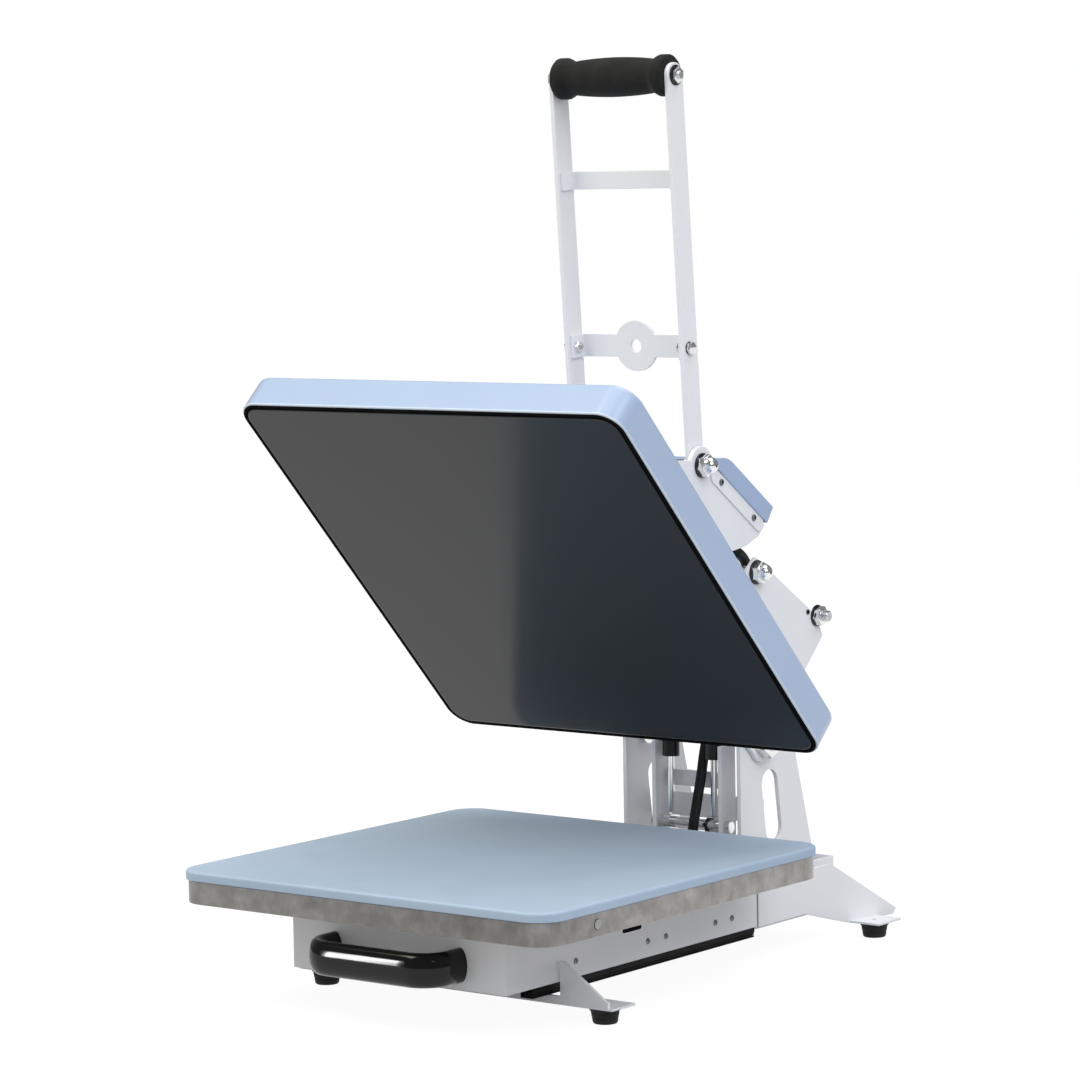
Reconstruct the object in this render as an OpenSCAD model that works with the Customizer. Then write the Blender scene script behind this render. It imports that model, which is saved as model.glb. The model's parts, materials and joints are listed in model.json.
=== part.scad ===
// Slide-out clamshell heat press, drawn with the head open and the drawer in.
// Millimetres. X runs to the operator's right, Y to the rear and Z up.
// Shapes are laid out from the centre of the lower platen and from the ground.

/* [Lower platen] */
// Width and depth of the silicone pad
pad_size = 381; // [372:1:386]
// Thickness of the silicone pad
pad_t = 8; // [6:0.5:9]
// Corner radius of the silicone pad
pad_corner_r = 25; // [18:1:32]
// How far the pad overhangs the aluminium plate
pad_overhang = 2; // [1:0.5:4]
// Thickness of the aluminium plate
plate_t = 19; // [16:0.5:20]
// Height of the underside of the plate above the ground
plate_z = 84; // [82:0.5:86]

/* [Heat head] */
// Width of the head cover
cover_w = 389; // [381:1:394]
// Depth of the head cover
cover_d = 410; // [400:1:412]
// Distance of the head's centre behind the platen's centre
head_y = 1.5; // [0:0.5:3]
// Height of the head from its hot face to the top of the cover
cover_h = 33; // [32:0.5:35]
// Corner radius of the head cover
cover_corner_r = 21; // [16:1:28]
// Sheet thickness of the head cover
cover_wall = 1.5; // [1.2:0.1:2]
// Thickness of the heated plate
heat_plate_t = 14; // [12:0.5:14]
// Width of the seal between the heated plate and the cover
seal_w = 2.5; // [2:0.25:4]
// Diameter of the heating element
element_d = 7; // [6:0.5:7.5]
// Gap left between the hot face and the pad when the head is down
press_gap = 0.6; // [0.5:0.1:2]

/* [Base] */
// Half the distance between the outer faces of the drawer sides
drawer_half_w = 109; // [107:0.5:111]
// Height of the lower edge of the drawer sides above the ground
drawer_z = 31; // [29:0.5:34]
// Height of the rubber feet
foot_h = 13; // [12:0.5:15]
// Diameter of the rubber feet at the top
foot_d = 25; // [22:0.5:28]
// Sheet thickness of the base legs
leg_t = 3; // [2:0.25:3.5]
// Distance of the rear tip of the legs behind the platen's centre
leg_tip_y = 401; // [396:1:410]
// Thickness of the uprights
upright_t = 4; // [3:0.25:4.5]
// Half the distance between the outer faces of the uprights
upright_half_w = 62.5; // [61.5:0.25:63]
// Distance of the front edge of the uprights behind the platen's centre
upright_front_y = 250; // [248:0.5:251]

/* [Lift arm] */
// Distance of the main pivot behind the platen's centre
pivot_y = 280; // [278:0.5:282]
// Height of the main pivot above the ground
pivot_z = 176; // [175:0.5:178]
// Angle of the head when it stands open
open_angle = 46.5; // [44:0.5:47.5]
// Diameter of the main pivot axles
shaft_d = 16; // [14:0.5:17]
// Thickness of the lift arm plates
arm_t = 4; // [3:0.25:5]
// Diameter of the cross bolts and of the handle's pivot bolts
bolt_d = 10; // [8:0.5:10.5]

/* [Handle] */
// Length of the handle from its pivot to the grip
handle_len = 326; // [300:1:340]
// Forward lean of the handle when the head is open
handle_lean = 4; // [3:0.5:5]
// Width of the handle bars
bar_w = 21; // [18:0.5:23]
// Thickness of the handle bars
bar_t = 4; // [3:0.25:4]
// Length of the handle's short arm below its pivot
knee_arm = 36; // [35:0.5:37]
// Diameter of the foam grip at its belly
grip_d = 35; // [30:0.5:38]
// Diameter of the magnet disc on the lower cross bar
disc_d = 43; // [36:0.5:46]

/* [Drawer] */
// Sheet thickness of the drawer carriage
drawer_t = 2; // [1.5:0.1:2]
// Distance of the drawer's front panel before the platen's centre
drawer_front_y = 138; // [134:1:142]
// Distance of the drawer's rear edge behind the platen's centre
drawer_rear_y = 205; // [200:1:207]
// Distance between the two legs of the pull handle
pull_pitch = 128; // [112:1:136]
// Reach of the pull handle in front of the panel
pull_reach = 44; // [40:0.5:48]
// Height of the telescopic slides
slide_h = 45; // [44:0.5:45]
// Length of the telescopic slides
slide_len = 305; // [302:1:330]

/* [Control box] */
// Depth of the lid along its slope
lid_d = 84; // [80:0.5:86]
// Slope of the lid when the head is down
lid_slope = 11; // [10:0.5:12]
// Height of the lid's skirt
lid_skirt = 16; // [14:0.5:17]
// Diameter of the push buttons
button_d = 9; // [7:0.5:10]
// Diameter of the pressure knob
knob_d = 52; // [44:1:56]

/* [Fits] */
// Radial clearance of a running fit
run_fit = 0.05; // [0.02:0.01:0.08]
// Gap between parts that slide or swing past each other
side_gap = 0.5; // [0.4:0.05:0.6]

/* [Hidden] */
$fn = 64;

// The frame's origin lies on the ground under the middle of the whole press
origin_y = (leg_tip_y - pad_size / 2) / 2;
module place() translate([0, -origin_y, 0]) children();

// Heights that follow from the platens
pad_top = plate_z + plate_t + pad_t;
face_z = pad_top + press_gap;
cover_top = face_z + cover_h;

// The lift arm is laid out with the head down and swung up about the main pivot
function swing(p, a) = [
    pivot_y + (p[0] - pivot_y) * cos(a) - (p[1] - pivot_z) * sin(a),
    pivot_z + (p[0] - pivot_y) * sin(a) + (p[1] - pivot_z) * cos(a)
];
module opened()
    translate([0, pivot_y, pivot_z]) rotate([-open_angle, 0, 0])
        translate([0, -pivot_y, -pivot_z]) children();

// Side positions of the moving plates, from the uprights outwards and inwards
arm_in = upright_half_w + side_gap;
arm_out = arm_in + arm_t;
bar_out = arm_in - 1;
bar_in = bar_out - bar_t;
link_t = 4;
link_out = bar_in - 1;
link_in = link_out - link_t;

// Pivots as [y, z] with the head down
handle_pivot_y = 43;
handle_pivot_h = 169.4;
handle_pivot = [handle_pivot_y, face_z + handle_pivot_h];
spring_bolt_y = 167;
spring_bolt_h = 159.4;
spring_bolt = [spring_bolt_y, face_z + spring_bolt_h];
tie_bolt_y = 264;
tie_bolt_h = 194.4;
tie_bolt = [tie_bolt_y, face_z + tie_bolt_h];
handle_open = swing(handle_pivot, -open_angle);
spring_bolt_open = swing(spring_bolt, -open_angle);

// Fixed pivots on the uprights and on the spring frame, as [y, z]
link_pivot = [pivot_y - 16, pivot_z + 19];
spring_pivot = [pivot_y - 14, pivot_z - 75];

// Play at the two pivots where the closed linkages are opened
knee_play = 3.4;
eye_play = 3.2;
knee_pin_d = 8;
link_w = 25;

// Basic shapes
module both_sides() {
    children();
    mirror([1, 0, 0]) children();
}
module from_side(x, t) translate([x, 0, 0]) rotate([90, 0, 90]) linear_extrude(t) children();
module from_front(y, t) translate([0, y + t, 0]) rotate([90, 0, 0]) linear_extrude(t) children();
module across(x0, x1, p, d) translate([x0, p[0], p[1]]) rotate([0, 90, 0]) cylinder(d = d, h = x1 - x0);
module spot(p, r) translate(p) circle(r);
module block(x, y, z) translate([x[0], y[0], z[0]]) cube([x[1] - x[0], y[1] - y[0], z[1] - z[0]]);

module rounded_rect(w, d, r) {
    square([w - 2 * r, d], center = true);
    square([w, d - 2 * r], center = true);
    for (x = [-1, 1], y = [-1, 1]) spot([x * (w / 2 - r), y * (d / 2 - r)], r);
}

// A bar with round ends from p to q
module strap(p, q, w) {
    len = norm(q - p);
    spot(p, w / 2);
    spot(q, w / 2);
    translate(p) rotate(atan2(q[1] - p[1], q[0] - p[0])) translate([0, -w / 2]) square([len, w]);
}

// A round tube swept along a list of points, closed at both ends
function tangent(p, i) =
    let (a = p[max(i - 1, 0)], b = p[min(i + 1, len(p) - 1)]) (b - a) / norm(b - a);
function ring(c, t, r, sides) =
    let (u = cross(t, [1, 0, 0]) / norm(cross(t, [1, 0, 0])), v = cross(t, u))
    [for (k = [0:sides - 1]) c + r * (cos(360 * k / sides) * u + sin(360 * k / sides) * v)];
module swept_tube(p, d, sides) {
    last = len(p) - 1;
    points = [for (i = [0:last]) each ring(p[i], tangent(p, i), d / 2, sides)];
    walls = [for (i = [0:last - 1], k = [0:sides - 1])
        let (n = (k + 1) % sides)
        each [
            [i * sides + k, (i + 1) * sides + k, (i + 1) * sides + n],
            [i * sides + k, (i + 1) * sides + n, i * sides + n]
        ]];
    start_cap = [[for (k = [0:sides - 1]) k]];
    end_cap = [[for (k = [sides - 1:-1:0]) last * sides + k]];
    polyhedron(points, concat(walls, start_cap, end_cap));
}

// Sheet thicknesses and heights of the base
sheet = 2;
tray_half_w = drawer_half_w - drawer_t - 13;
tray_z = 24;
tray_wall_z = 70;
tray_front_y = -69;
tray_rear_y = 345;
leg_front_y = tray_front_y - leg_t;
wing_gap = 2;
wing_in = drawer_half_w + wing_gap;
wing_top_z = 48;
wing_out = 158;
notch_z = 20;
foot_pad_t = 2;
front_foot = [144, -57];
rear_foot = [127, 358];
foot_taper = 5;
inlet_z = 44;
inlet_w = 28;
inlet_h = 20;

// Base tray: a bent sheet with two side walls and a rear wall
module base_tray() place() color("gainsboro") difference() {
    union() {
        block([-tray_half_w, tray_half_w], [tray_front_y, tray_rear_y], [tray_z, tray_z + sheet]);
        both_sides()
            block([tray_half_w - sheet, tray_half_w], [tray_front_y, tray_rear_y], [tray_z, tray_wall_z]);
        block([-tray_half_w, tray_half_w], [tray_rear_y - sheet, tray_rear_y], [tray_z, tray_wall_z]);
    }
    block([-inlet_w / 2, inlet_w / 2], [tray_rear_y - 3 * sheet, tray_rear_y + sheet],
        [inlet_z - inlet_h / 2, inlet_z + inlet_h / 2]);
}

// Front leg: a cross plate with two wings and a folded pad over each front foot
wing_curve_r = 120;
wing_curve = [wing_out + 65, wing_top_z + 95];
foot_screw_d = 5;
foot_pad_x = [front_foot[0] - 17, wing_out + 4];
module front_leg() place() color("gainsboro") difference() {
    union() {
        block([-wing_out, wing_out], [leg_front_y, tray_front_y], [foot_h, notch_z]);
        block([4 - tray_half_w, tray_half_w - 4], [leg_front_y, tray_front_y], [foot_h, tray_wall_z]);
        both_sides() {
            from_front(leg_front_y, leg_t) polygon([
                [wing_in, foot_h], [wing_out, foot_h], [wing_out, foot_h + 6],
                [wing_in + 4, wing_top_z], [wing_in, wing_top_z]
            ]);
            block(foot_pad_x, [leg_front_y, front_foot[1] + 16], [foot_h, foot_h + foot_pad_t]);
        }
    }
    both_sides() {
        from_front(leg_front_y - 1, leg_t + 2) spot(wing_curve, wing_curve_r);
        translate([front_foot[0], front_foot[1], 0]) cylinder(d = foot_screw_d, h = 4 * foot_h);
    }
}

// Rear leg on the right: a bent sheet seen from above, cut to its side outline, with a foot pad
leg_bend_y = 318;
leg_top_z = 68;
leg_gap = 2.5;
leg_front_edge = drawer_rear_y + leg_gap;
leg_rise = 17;
leg_drop_y = 278;
leg_splay = 9;
function leg_x(y) = drawer_half_w + (y - leg_bend_y) * tan(leg_splay);
rear_pad_y = [rear_foot[1] - 17, rear_foot[1] + 18];
module rear_leg() difference() {
    inner_bend_y = leg_bend_y + leg_t * tan(leg_splay / 2);
    x_in = drawer_half_w - leg_t;
    union() {
        intersection() {
            linear_extrude(leg_top_z) polygon([
                [tray_half_w, leg_front_edge], [drawer_half_w, leg_front_edge], [drawer_half_w, leg_bend_y],
                [leg_x(leg_tip_y), leg_tip_y], [leg_x(leg_tip_y) - leg_t / cos(leg_splay), leg_tip_y],
                [x_in, inner_bend_y], [x_in, leg_front_edge + leg_t], [tray_half_w, leg_front_edge + leg_t]
            ]);
            from_side(0, 2 * drawer_half_w) polygon([
                [leg_front_edge, foot_h + leg_rise], [leg_front_edge, leg_top_z], [leg_bend_y, leg_top_z],
                [leg_tip_y, foot_h + 5], [leg_tip_y - 4, foot_h],
                [rear_pad_y[0], foot_h], [leg_drop_y, foot_h + leg_rise]
            ]);
        }
        translate([0, 0, foot_h]) linear_extrude(foot_pad_t) polygon([
            [leg_x(rear_pad_y[0]) - leg_t / 2, rear_pad_y[0]], [rear_foot[0] + 16, rear_pad_y[0]],
            [rear_foot[0] + 16, rear_pad_y[1]], [leg_x(rear_pad_y[1]) - leg_t / 2, rear_pad_y[1]]
        ]);
    }
    translate([rear_foot[0], rear_foot[1], 0]) cylinder(d = foot_screw_d, h = 4 * foot_h);
}
module rear_leg_right() place() color("gainsboro") rear_leg();
module rear_leg_left() place() color("gainsboro") mirror([1, 0, 0]) rear_leg();

// Rubber feet: tapered pads with a screw recess
foot_recess = [6, 5];
module foot() rotate_extrude() polygon([
    [foot_screw_d / 2, foot_recess[1]], foot_recess, [foot_recess[0], 0],
    [(foot_d - foot_taper) / 2, 0], [foot_d / 2, foot_h], [foot_screw_d / 2, foot_h]
]);
module feet() place() color("black") both_sides() for (p = [front_foot, rear_foot])
    translate([p[0], p[1], 0]) foot();

// Uprights: plates that carry the main pivot and the fixed ends of the links
upright_rear_y = 359;
upright_top_z = 215;
slot_w = 24;
slot_len = 64;
slot_tilt = 98;
slot_at = [297, 118];
upright_corner_r = 12;
upright_foot_y = tray_rear_y - sheet - 1;
upright_foot_z = tray_wall_z + 2;
module upright() difference() {
    union() {
        from_side(upright_half_w - upright_t, upright_t) polygon([
            [upright_front_y, tray_z + sheet], [upright_front_y, upright_top_z - upright_corner_r],
            [upright_front_y + upright_corner_r, upright_top_z - upright_corner_r],
            [upright_front_y + upright_corner_r, upright_top_z], [pivot_y + 28, upright_top_z],
            [pivot_y + 46, upright_top_z - 25], [upright_rear_y, upright_foot_z],
            [upright_foot_y, upright_foot_z], [upright_foot_y, tray_z + sheet]
        ]);
        across(upright_half_w - upright_t, upright_half_w,
            [upright_front_y + upright_corner_r, upright_top_z - upright_corner_r], 2 * upright_corner_r);
    }
    across(0, 2 * upright_half_w, [pivot_y, pivot_z], shaft_d);
    across(0, 2 * upright_half_w, link_pivot, bolt_d);
    from_side(0, 2 * upright_half_w) translate(slot_at) rotate(slot_tilt)
        strap([-(slot_len - slot_w) / 2, 0], [(slot_len - slot_w) / 2, 0], slot_w);
}
module upright_right() place() color("gainsboro") upright();
module upright_left() place() color("gainsboro") mirror([1, 0, 0]) upright();

// Spring frame: two posts and a strap, welded, that hold the lower gas spring pin
post_x = 33;
post_t = 4;
post_y = [258, 279];
post_top_z = 172;
strap_z = [132, 146];
module spring_frame() place() color("gainsboro") difference() {
    union() {
        both_sides() block([post_x, post_x + post_t], post_y, [tray_z + sheet, post_top_z]);
        block([-post_x, post_x], [post_y[1] - 4, post_y[1]], strap_z);
    }
    across(-post_x - 2 * post_t, post_x + 2 * post_t, spring_pivot, bolt_d);
}

// Cross bar that ties the two uprights together
bar_z = [103, 124];
bar_y = 288;
bar_sheet = 3;
module rear_cross_bar() place() color("gainsboro")
    block([-(upright_half_w - upright_t), upright_half_w - upright_t], [bar_y, bar_y + bar_sheet], bar_z);

// Main pivot: an axle through each upright and arm plate, headed inside, with a nut outside
nut_t = 9;
nut_af = 24;
axle_head_t = 4;
axle_head_d = shaft_d + 4;
axle_in = upright_half_w - upright_t - axle_head_t;
module hex_nut(d, af, t) difference() {
    cylinder(d = af / cos(30), h = t, $fn = 6);
    translate([0, 0, -1]) cylinder(d = d, h = t + 2);
}
module pivot_axles() place() color("silver") both_sides() {
    across(axle_in, arm_out + side_gap + nut_t + 3, [pivot_y, pivot_z], shaft_d);
    across(axle_in, axle_in + axle_head_t, [pivot_y, pivot_z], axle_head_d);
}
module axle_nuts() place() color("silver") both_sides()
    translate([arm_out + side_gap, pivot_y, pivot_z]) rotate([0, 90, 0]) hex_nut(shaft_d, nut_af, nut_t);

// Lower pin of the gas springs, held by the posts
module spring_lower_pin() place() color("silver")
    across(-post_x - post_t - 4, post_x + post_t + 4, spring_pivot, bolt_d);

// Fixed link pins: flush in the uprights, with a head inside the links
module link_pins() place() color("silver") both_sides() {
    across(link_in - 1, upright_half_w, link_pivot, bolt_d);
    across(link_in - 4, link_in - side_gap, link_pivot, bolt_d + 7);
}

// Mains inlet in the rear wall of the tray
module power_inlet() place() color("black") difference() {
    union() {
        block([-inlet_w / 2, inlet_w / 2], [tray_rear_y - 22, tray_rear_y],
            [inlet_z - inlet_h / 2, inlet_z + inlet_h / 2]);
        from_front(tray_rear_y, 3) translate([0, inlet_z]) rounded_rect(50, 26, 5);
    }
    block([-11, 11], [tray_rear_y - 14, tray_rear_y + 6], [inlet_z - 7, inlet_z + 7]);
}

// Head cable, from the back of the control box down to the inlet
cable_d = 9;
cable_sides = 12;
cable_route = [
    [36, 267.78, 347.34], [36, 271, 345], [36, 276.8, 342], [36, 282.3, 339.8], [36.3, 287.7, 337.6],
    [36.5, 292.9, 334.4], [36.7, 297.4, 330.1], [36.8, 301.1, 325], [36.6, 303.9, 319.4],
    [36.2, 305.6, 313.3], [34.4, 306.6, 303], [31, 305.8, 288], [26.3, 303.6, 272], [21, 300.5, 256],
    [16, 296, 239],
    [12, 290, 219], [10, 284, 199], [9, 278, 180], [9, 272, 162], [10, 266, 144],
    [11, 259, 126], [12, 252, 108], [11, 249, 92], [6, 253, 77], [2, 263, 64],
    [0, 277, 54], [0, 294, 47], [0, 309, 44], [0, 323, 44]
];
module head_cable() place() color("black") swept_tube(cable_route, cable_d, cable_sides);

// Telescopic slides, each a nest of three channels on its side
slide_z = drawer_z - 9;
slide_y = [drawer_rear_y - slide_len - 1, drawer_rear_y - 1];
slide_in = tray_half_w;
slide_out = drawer_half_w - drawer_t;
channel_t = 1.4;
module channel(x, z, web_x) {
    block([web_x, web_x + channel_t], slide_y, z);
    block(x, slide_y, [z[0], z[0] + channel_t]);
    block(x, slide_y, [z[1] - channel_t, z[1]]);
}
step_z = channel_t + side_gap;
fixed_z = [slide_z, slide_z + slide_h];
middle_z = [fixed_z[0] + step_z, fixed_z[1] - step_z];
inner_z = [middle_z[0] + step_z, middle_z[1] - step_z];
module slide_fixed() place() color("black") both_sides()
    channel([slide_in, slide_out - side_gap], fixed_z, slide_in);
module slide_middle() place() color("silver") both_sides()
    channel([slide_in + 4, slide_out - side_gap], middle_z, slide_in + 4);
module slide_inner() place() color("silver") both_sides()
    channel([slide_in + 7, slide_out], inner_z, slide_out - channel_t);

// Drawer carriage: deck, two sides and the front panel, bent from one sheet
screw_y = [-48, 49, 74, 144, 168];
screw_z = 44;
notch_y = [12, 40];
platen_screw_xy = [70, 90];
deck_z = plate_z - drawer_t;
module drawer_carriage() place() color("gainsboro") difference() {
    union() {
        block([-drawer_half_w, drawer_half_w], [-drawer_front_y, drawer_rear_y], [deck_z, plate_z]);
        both_sides() block([drawer_half_w - drawer_t, drawer_half_w], [-drawer_front_y, drawer_rear_y],
            [drawer_z, plate_z]);
        block([-drawer_half_w, drawer_half_w], [-drawer_front_y, -drawer_front_y + drawer_t],
            [drawer_z, plate_z]);
    }
    both_sides() {
        from_side(drawer_half_w - 2 * drawer_t, 4 * drawer_t)
            strap([notch_y[0] + 4, deck_z - 4], [notch_y[1] - 4, deck_z - 4], 7);
        for (y = screw_y) across(drawer_half_w - 2 * drawer_t, drawer_half_w + 1, [y, screw_z], 4);
        for (y = [-1, 1]) translate([platen_screw_xy[0], y * platen_screw_xy[1], deck_z - 1])
            cylinder(d = 6, h = 3 * drawer_t);
    }
}

// Pull handle: an oval bar on two legs, with round corners
pull_drop = 6.5;
pull_z = (drawer_z + plate_z) / 2 - pull_drop;
pull_corner_r = 22;
pull_bar = [14, 28];
module pull_section() {
    spot([0, (pull_bar[1] - pull_bar[0]) / 2], pull_bar[0] / 2);
    spot([0, -(pull_bar[1] - pull_bar[0]) / 2], pull_bar[0] / 2);
    square([pull_bar[0], pull_bar[1] - pull_bar[0]], center = true);
}
module drawer_pull() place() color("black") {
    bar_y = -drawer_front_y - pull_reach + pull_bar[0] / 2;
    bend_y = bar_y + pull_corner_r;
    leg_len = -drawer_front_y - bend_y;
    half = pull_pitch / 2;
    both_sides() {
        translate([half, bend_y, pull_z]) rotate([-90, 0, 0]) linear_extrude(leg_len) pull_section();
        translate([half - pull_corner_r, bend_y, pull_z]) rotate([0, 0, -90])
            rotate_extrude(angle = 90) translate([pull_corner_r, 0]) pull_section();
    }
    translate([-(half - pull_corner_r), bar_y, pull_z]) rotate([90, 0, 90])
        linear_extrude(pull_pitch - 2 * pull_corner_r) pull_section();
}

// Lower platen: the bare aluminium plate, and the pad that lies on it
plate_size = pad_size - 2 * pad_overhang;
plug_d = 8;
plug_y = -124;
plug_z = plate_z + plate_t / 2;
plug_len = 10;
platen_screw_len = 10;
module lower_platen() place() color("silver") difference() {
    translate([0, 0, plate_z]) linear_extrude(plate_t)
        rounded_rect(plate_size, plate_size, pad_corner_r - pad_overhang);
    both_sides() {
        across(plate_size / 2 - plug_len, plate_size / 2 + 1, [plug_y, plug_z], plug_d);
        for (y = [-1, 1]) translate([platen_screw_xy[0], y * platen_screw_xy[1], plate_z - 1])
            cylinder(d = 6, h = platen_screw_len + 1);
    }
}
module silicone_pad() place() color("lightsteelblue") translate([0, 0, plate_z + plate_t])
    linear_extrude(pad_t) rounded_rect(pad_size, pad_size, pad_corner_r);
module edge_plugs() place() color("silver") both_sides()
    across(plate_size / 2 - plug_len, plate_size / 2 + 0.4, [plug_y, plug_z], plug_d);

// Screws of the drawer
module slide_screws() place() color("silver") both_sides() for (y = screw_y) {
    across(slide_out, drawer_half_w, [y, screw_z], 4);
    across(drawer_half_w, drawer_half_w + 1, [y, screw_z], 6.5);
}
module platen_screws() place() color("silver") both_sides() for (y = [-1, 1])
    translate([platen_screw_xy[0], y * platen_screw_xy[1], 0]) {
        translate([0, 0, deck_z]) cylinder(d = 6, h = drawer_t + platen_screw_len - 1);
        translate([0, 0, deck_z - 4]) cylinder(d = 10, h = 4);
    }

// Lift arm plates: a front horn for the handle and the lid, a rear horn over the pivot
horn_r = 16;
pivot_r = 18;
tie_r = 9;
arm_foot_y = -70;
arm_bottom_z = cover_top + 3;
module arm_plate() opened() difference() {
    union() {
        from_side(arm_in, arm_t) polygon([
            [arm_foot_y, arm_bottom_z], [arm_foot_y, arm_bottom_z + 30],
            [handle_pivot[0] - 14, handle_pivot[1] - 7], [handle_pivot[0], handle_pivot[1] + horn_r - 1],
            [60, handle_pivot[1] + 10.6], [148, handle_pivot[1] + 27], [148, handle_pivot[1] + 15],
            [139.5, handle_pivot[1] - 5], [127, handle_pivot[1] - 22], [156, handle_pivot[1] - 22],
            [158, handle_pivot[1] - 1], tie_bolt, [pivot_y + 4, tie_bolt[1] - 6],
            [pivot_y + 4, pivot_z + pivot_r], [pivot_y, pivot_z - pivot_r + 1], [150, arm_bottom_z]
        ]);
        across(arm_in, arm_out, handle_pivot, 2 * horn_r);
        across(arm_in, arm_out, tie_bolt, 2 * tie_r);
        across(arm_in, arm_out, [pivot_y, pivot_z], 2 * pivot_r);
    }
    across(0, 2 * arm_out, [pivot_y, pivot_z], shaft_d + 2 * run_fit);
    for (p = [handle_pivot, spring_bolt, tie_bolt]) across(0, 2 * arm_out, p, bolt_d);
}
module arm_plate_right() place() color("gainsboro") arm_plate();
module arm_plate_left() place() color("gainsboro") mirror([1, 0, 0]) arm_plate();

// Platen bracket: a channel welded between the arm plates on top of the cover
bracket_t = 3;
bracket_y = [arm_foot_y, 150];
bracket_h = 38;
knob_y = -8;
boss_r = 14;
boss_h = 18;
screw_d = 14;
module platen_bracket() place() color("gainsboro") opened() difference() {
    union() {
        block([-arm_in, arm_in], bracket_y, [cover_top, cover_top + bracket_t]);
        both_sides() block([arm_in - bracket_t, arm_in], bracket_y, [cover_top, cover_top + bracket_h]);
        translate([0, knob_y, cover_top]) cylinder(r = boss_r, h = boss_h);
    }
    translate([0, knob_y, cover_top - 1]) cylinder(d = screw_d + 2 * run_fit, h = boss_h + 2);
}

// Pressure knob on its screw
knob_z = cover_top + boss_h + 12;
knob_h = 26;
knob_flutes = 8;
module pressure_knob() place() color("black") opened() translate([0, knob_y, 0]) {
    translate([0, 0, cover_top + 2]) cylinder(d = screw_d, h = knob_z - cover_top);
    translate([0, 0, knob_z]) difference() {
        cylinder(d = knob_d, h = knob_h);
        for (k = [0:knob_flutes - 1]) rotate(360 * k / knob_flutes)
            translate([knob_d / 2 + 3, 0, -1]) cylinder(r = 7, h = knob_h + 2);
    }
}

// Cross bolts of the lift arm with their nuts, and the handle's pivot bolts
module arm_cross_bolts() place() color("silver") opened() for (p = [spring_bolt, tie_bolt])
    across(-arm_out - 8, arm_out + 8, p, bolt_d);
module dome_nut(d) difference() {
    union() {
        cylinder(d = 2.1 * d, h = 2);
        translate([0, 0, 2]) cylinder(d = 1.7 * d / cos(30), h = 6, $fn = 6);
        translate([0, 0, 8]) cylinder(d = 1.3 * d, h = 2);
        translate([0, 0, 8]) intersection() {
            sphere(d = 1.5 * d);
            cylinder(d = 2 * d, h = d);
        }
    }
    translate([0, 0, -1]) cylinder(d = d, h = 9.1);
}
module arm_nuts() place() color("silver") opened() both_sides()
    for (p = [handle_pivot, spring_bolt, tie_bolt])
        translate([arm_out, p[0], p[1]]) rotate([0, 90, 0]) dome_nut(bolt_d);
module handle_pivot_bolts() place() color("silver") opened() both_sides() {
    across(bar_in - side_gap, arm_out + 8, handle_pivot, bolt_d);
    across(bar_in - side_gap - 4, bar_in - side_gap, handle_pivot, bolt_d + 6);
}

// Heat head: coated plate, seal, element, insulation and cover
plate_margin = cover_wall + seal_w;
module head_outline(inset) translate([0, head_y])
    rounded_rect(cover_w - 2 * inset, cover_d - 2 * inset, cover_corner_r - inset);
module heat_platen() place() color("dimgray") opened() translate([0, 0, face_z])
    linear_extrude(heat_plate_t) head_outline(plate_margin);
module rim_seal() place() color("black") opened() translate([0, 0, face_z + 0.5])
    linear_extrude(6) difference() {
        head_outline(cover_wall);
        head_outline(plate_margin);
    }
module platen_cover() place() color("lightsteelblue") opened() difference() {
    translate([0, 0, face_z + 1]) linear_extrude(cover_h - 1) head_outline(0);
    translate([0, 0, face_z]) linear_extrude(cover_h - cover_wall) head_outline(cover_wall);
}

element_runs = 8;
element_span = 280;
element_pitch = 40;
element_z = face_z + heat_plate_t + element_d / 2;
module heating_element() place() color("gray") opened() translate([0, 0, element_z]) {
    first_y = -element_pitch * (element_runs - 1) / 2;
    for (i = [0:element_runs - 1]) translate([-element_span / 2, first_y + i * element_pitch, 0])
        rotate([0, 90, 0]) cylinder(d = element_d, h = element_span);
    for (i = [0:element_runs - 2]) translate([(i % 2 == 0 ? 1 : -1) * element_span / 2,
            first_y + (i + 0.5) * element_pitch, 0])
        rotate(i % 2 == 0 ? -90 : 90) rotate_extrude(angle = 180)
            translate([element_pitch / 2, 0]) circle(d = element_d);
}
insulation_z = face_z + heat_plate_t + element_d + 0.5;
module insulation() place() color("wheat") opened() translate([0, 0, insulation_z])
    linear_extrude(cover_top - cover_wall - insulation_z - 0.5) head_outline(plate_margin + 4);

// Control box, laid out along the slope of its lid from the lid's front edge
lid_y = 61;
lid_rise = 28;
lid_z = handle_pivot[1] + lid_rise;
lid_t = 1.5;
lid_in = arm_out + lid_t;
lid_half_w = lid_in + lid_t;
lid_front_r = 14;
lid_lip = 10;
panel_half_w = 50;
panel_h = 44;
panel_t = 3;
panel_tilt = 28;
panel_y = -3;
panel_z = -lid_skirt - 1;
panel_foot = [panel_y - panel_h * sin(panel_tilt), panel_z - panel_h * cos(panel_tilt)];
chassis_half_w = 45;
chassis_h = 48;
chassis_t = 1.5;
flange_h = 12;
flange_y = [-8, 82];
lid_screw_y = [7.5, 65.5];
switch_x = -14;
switch_w = 20;
switch_h = 12;
switch_z = -26;
switch_throw = 12;
module on_lid() opened() translate([0, lid_y, lid_z]) rotate([lid_slope, 0, 0]) children();

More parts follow.
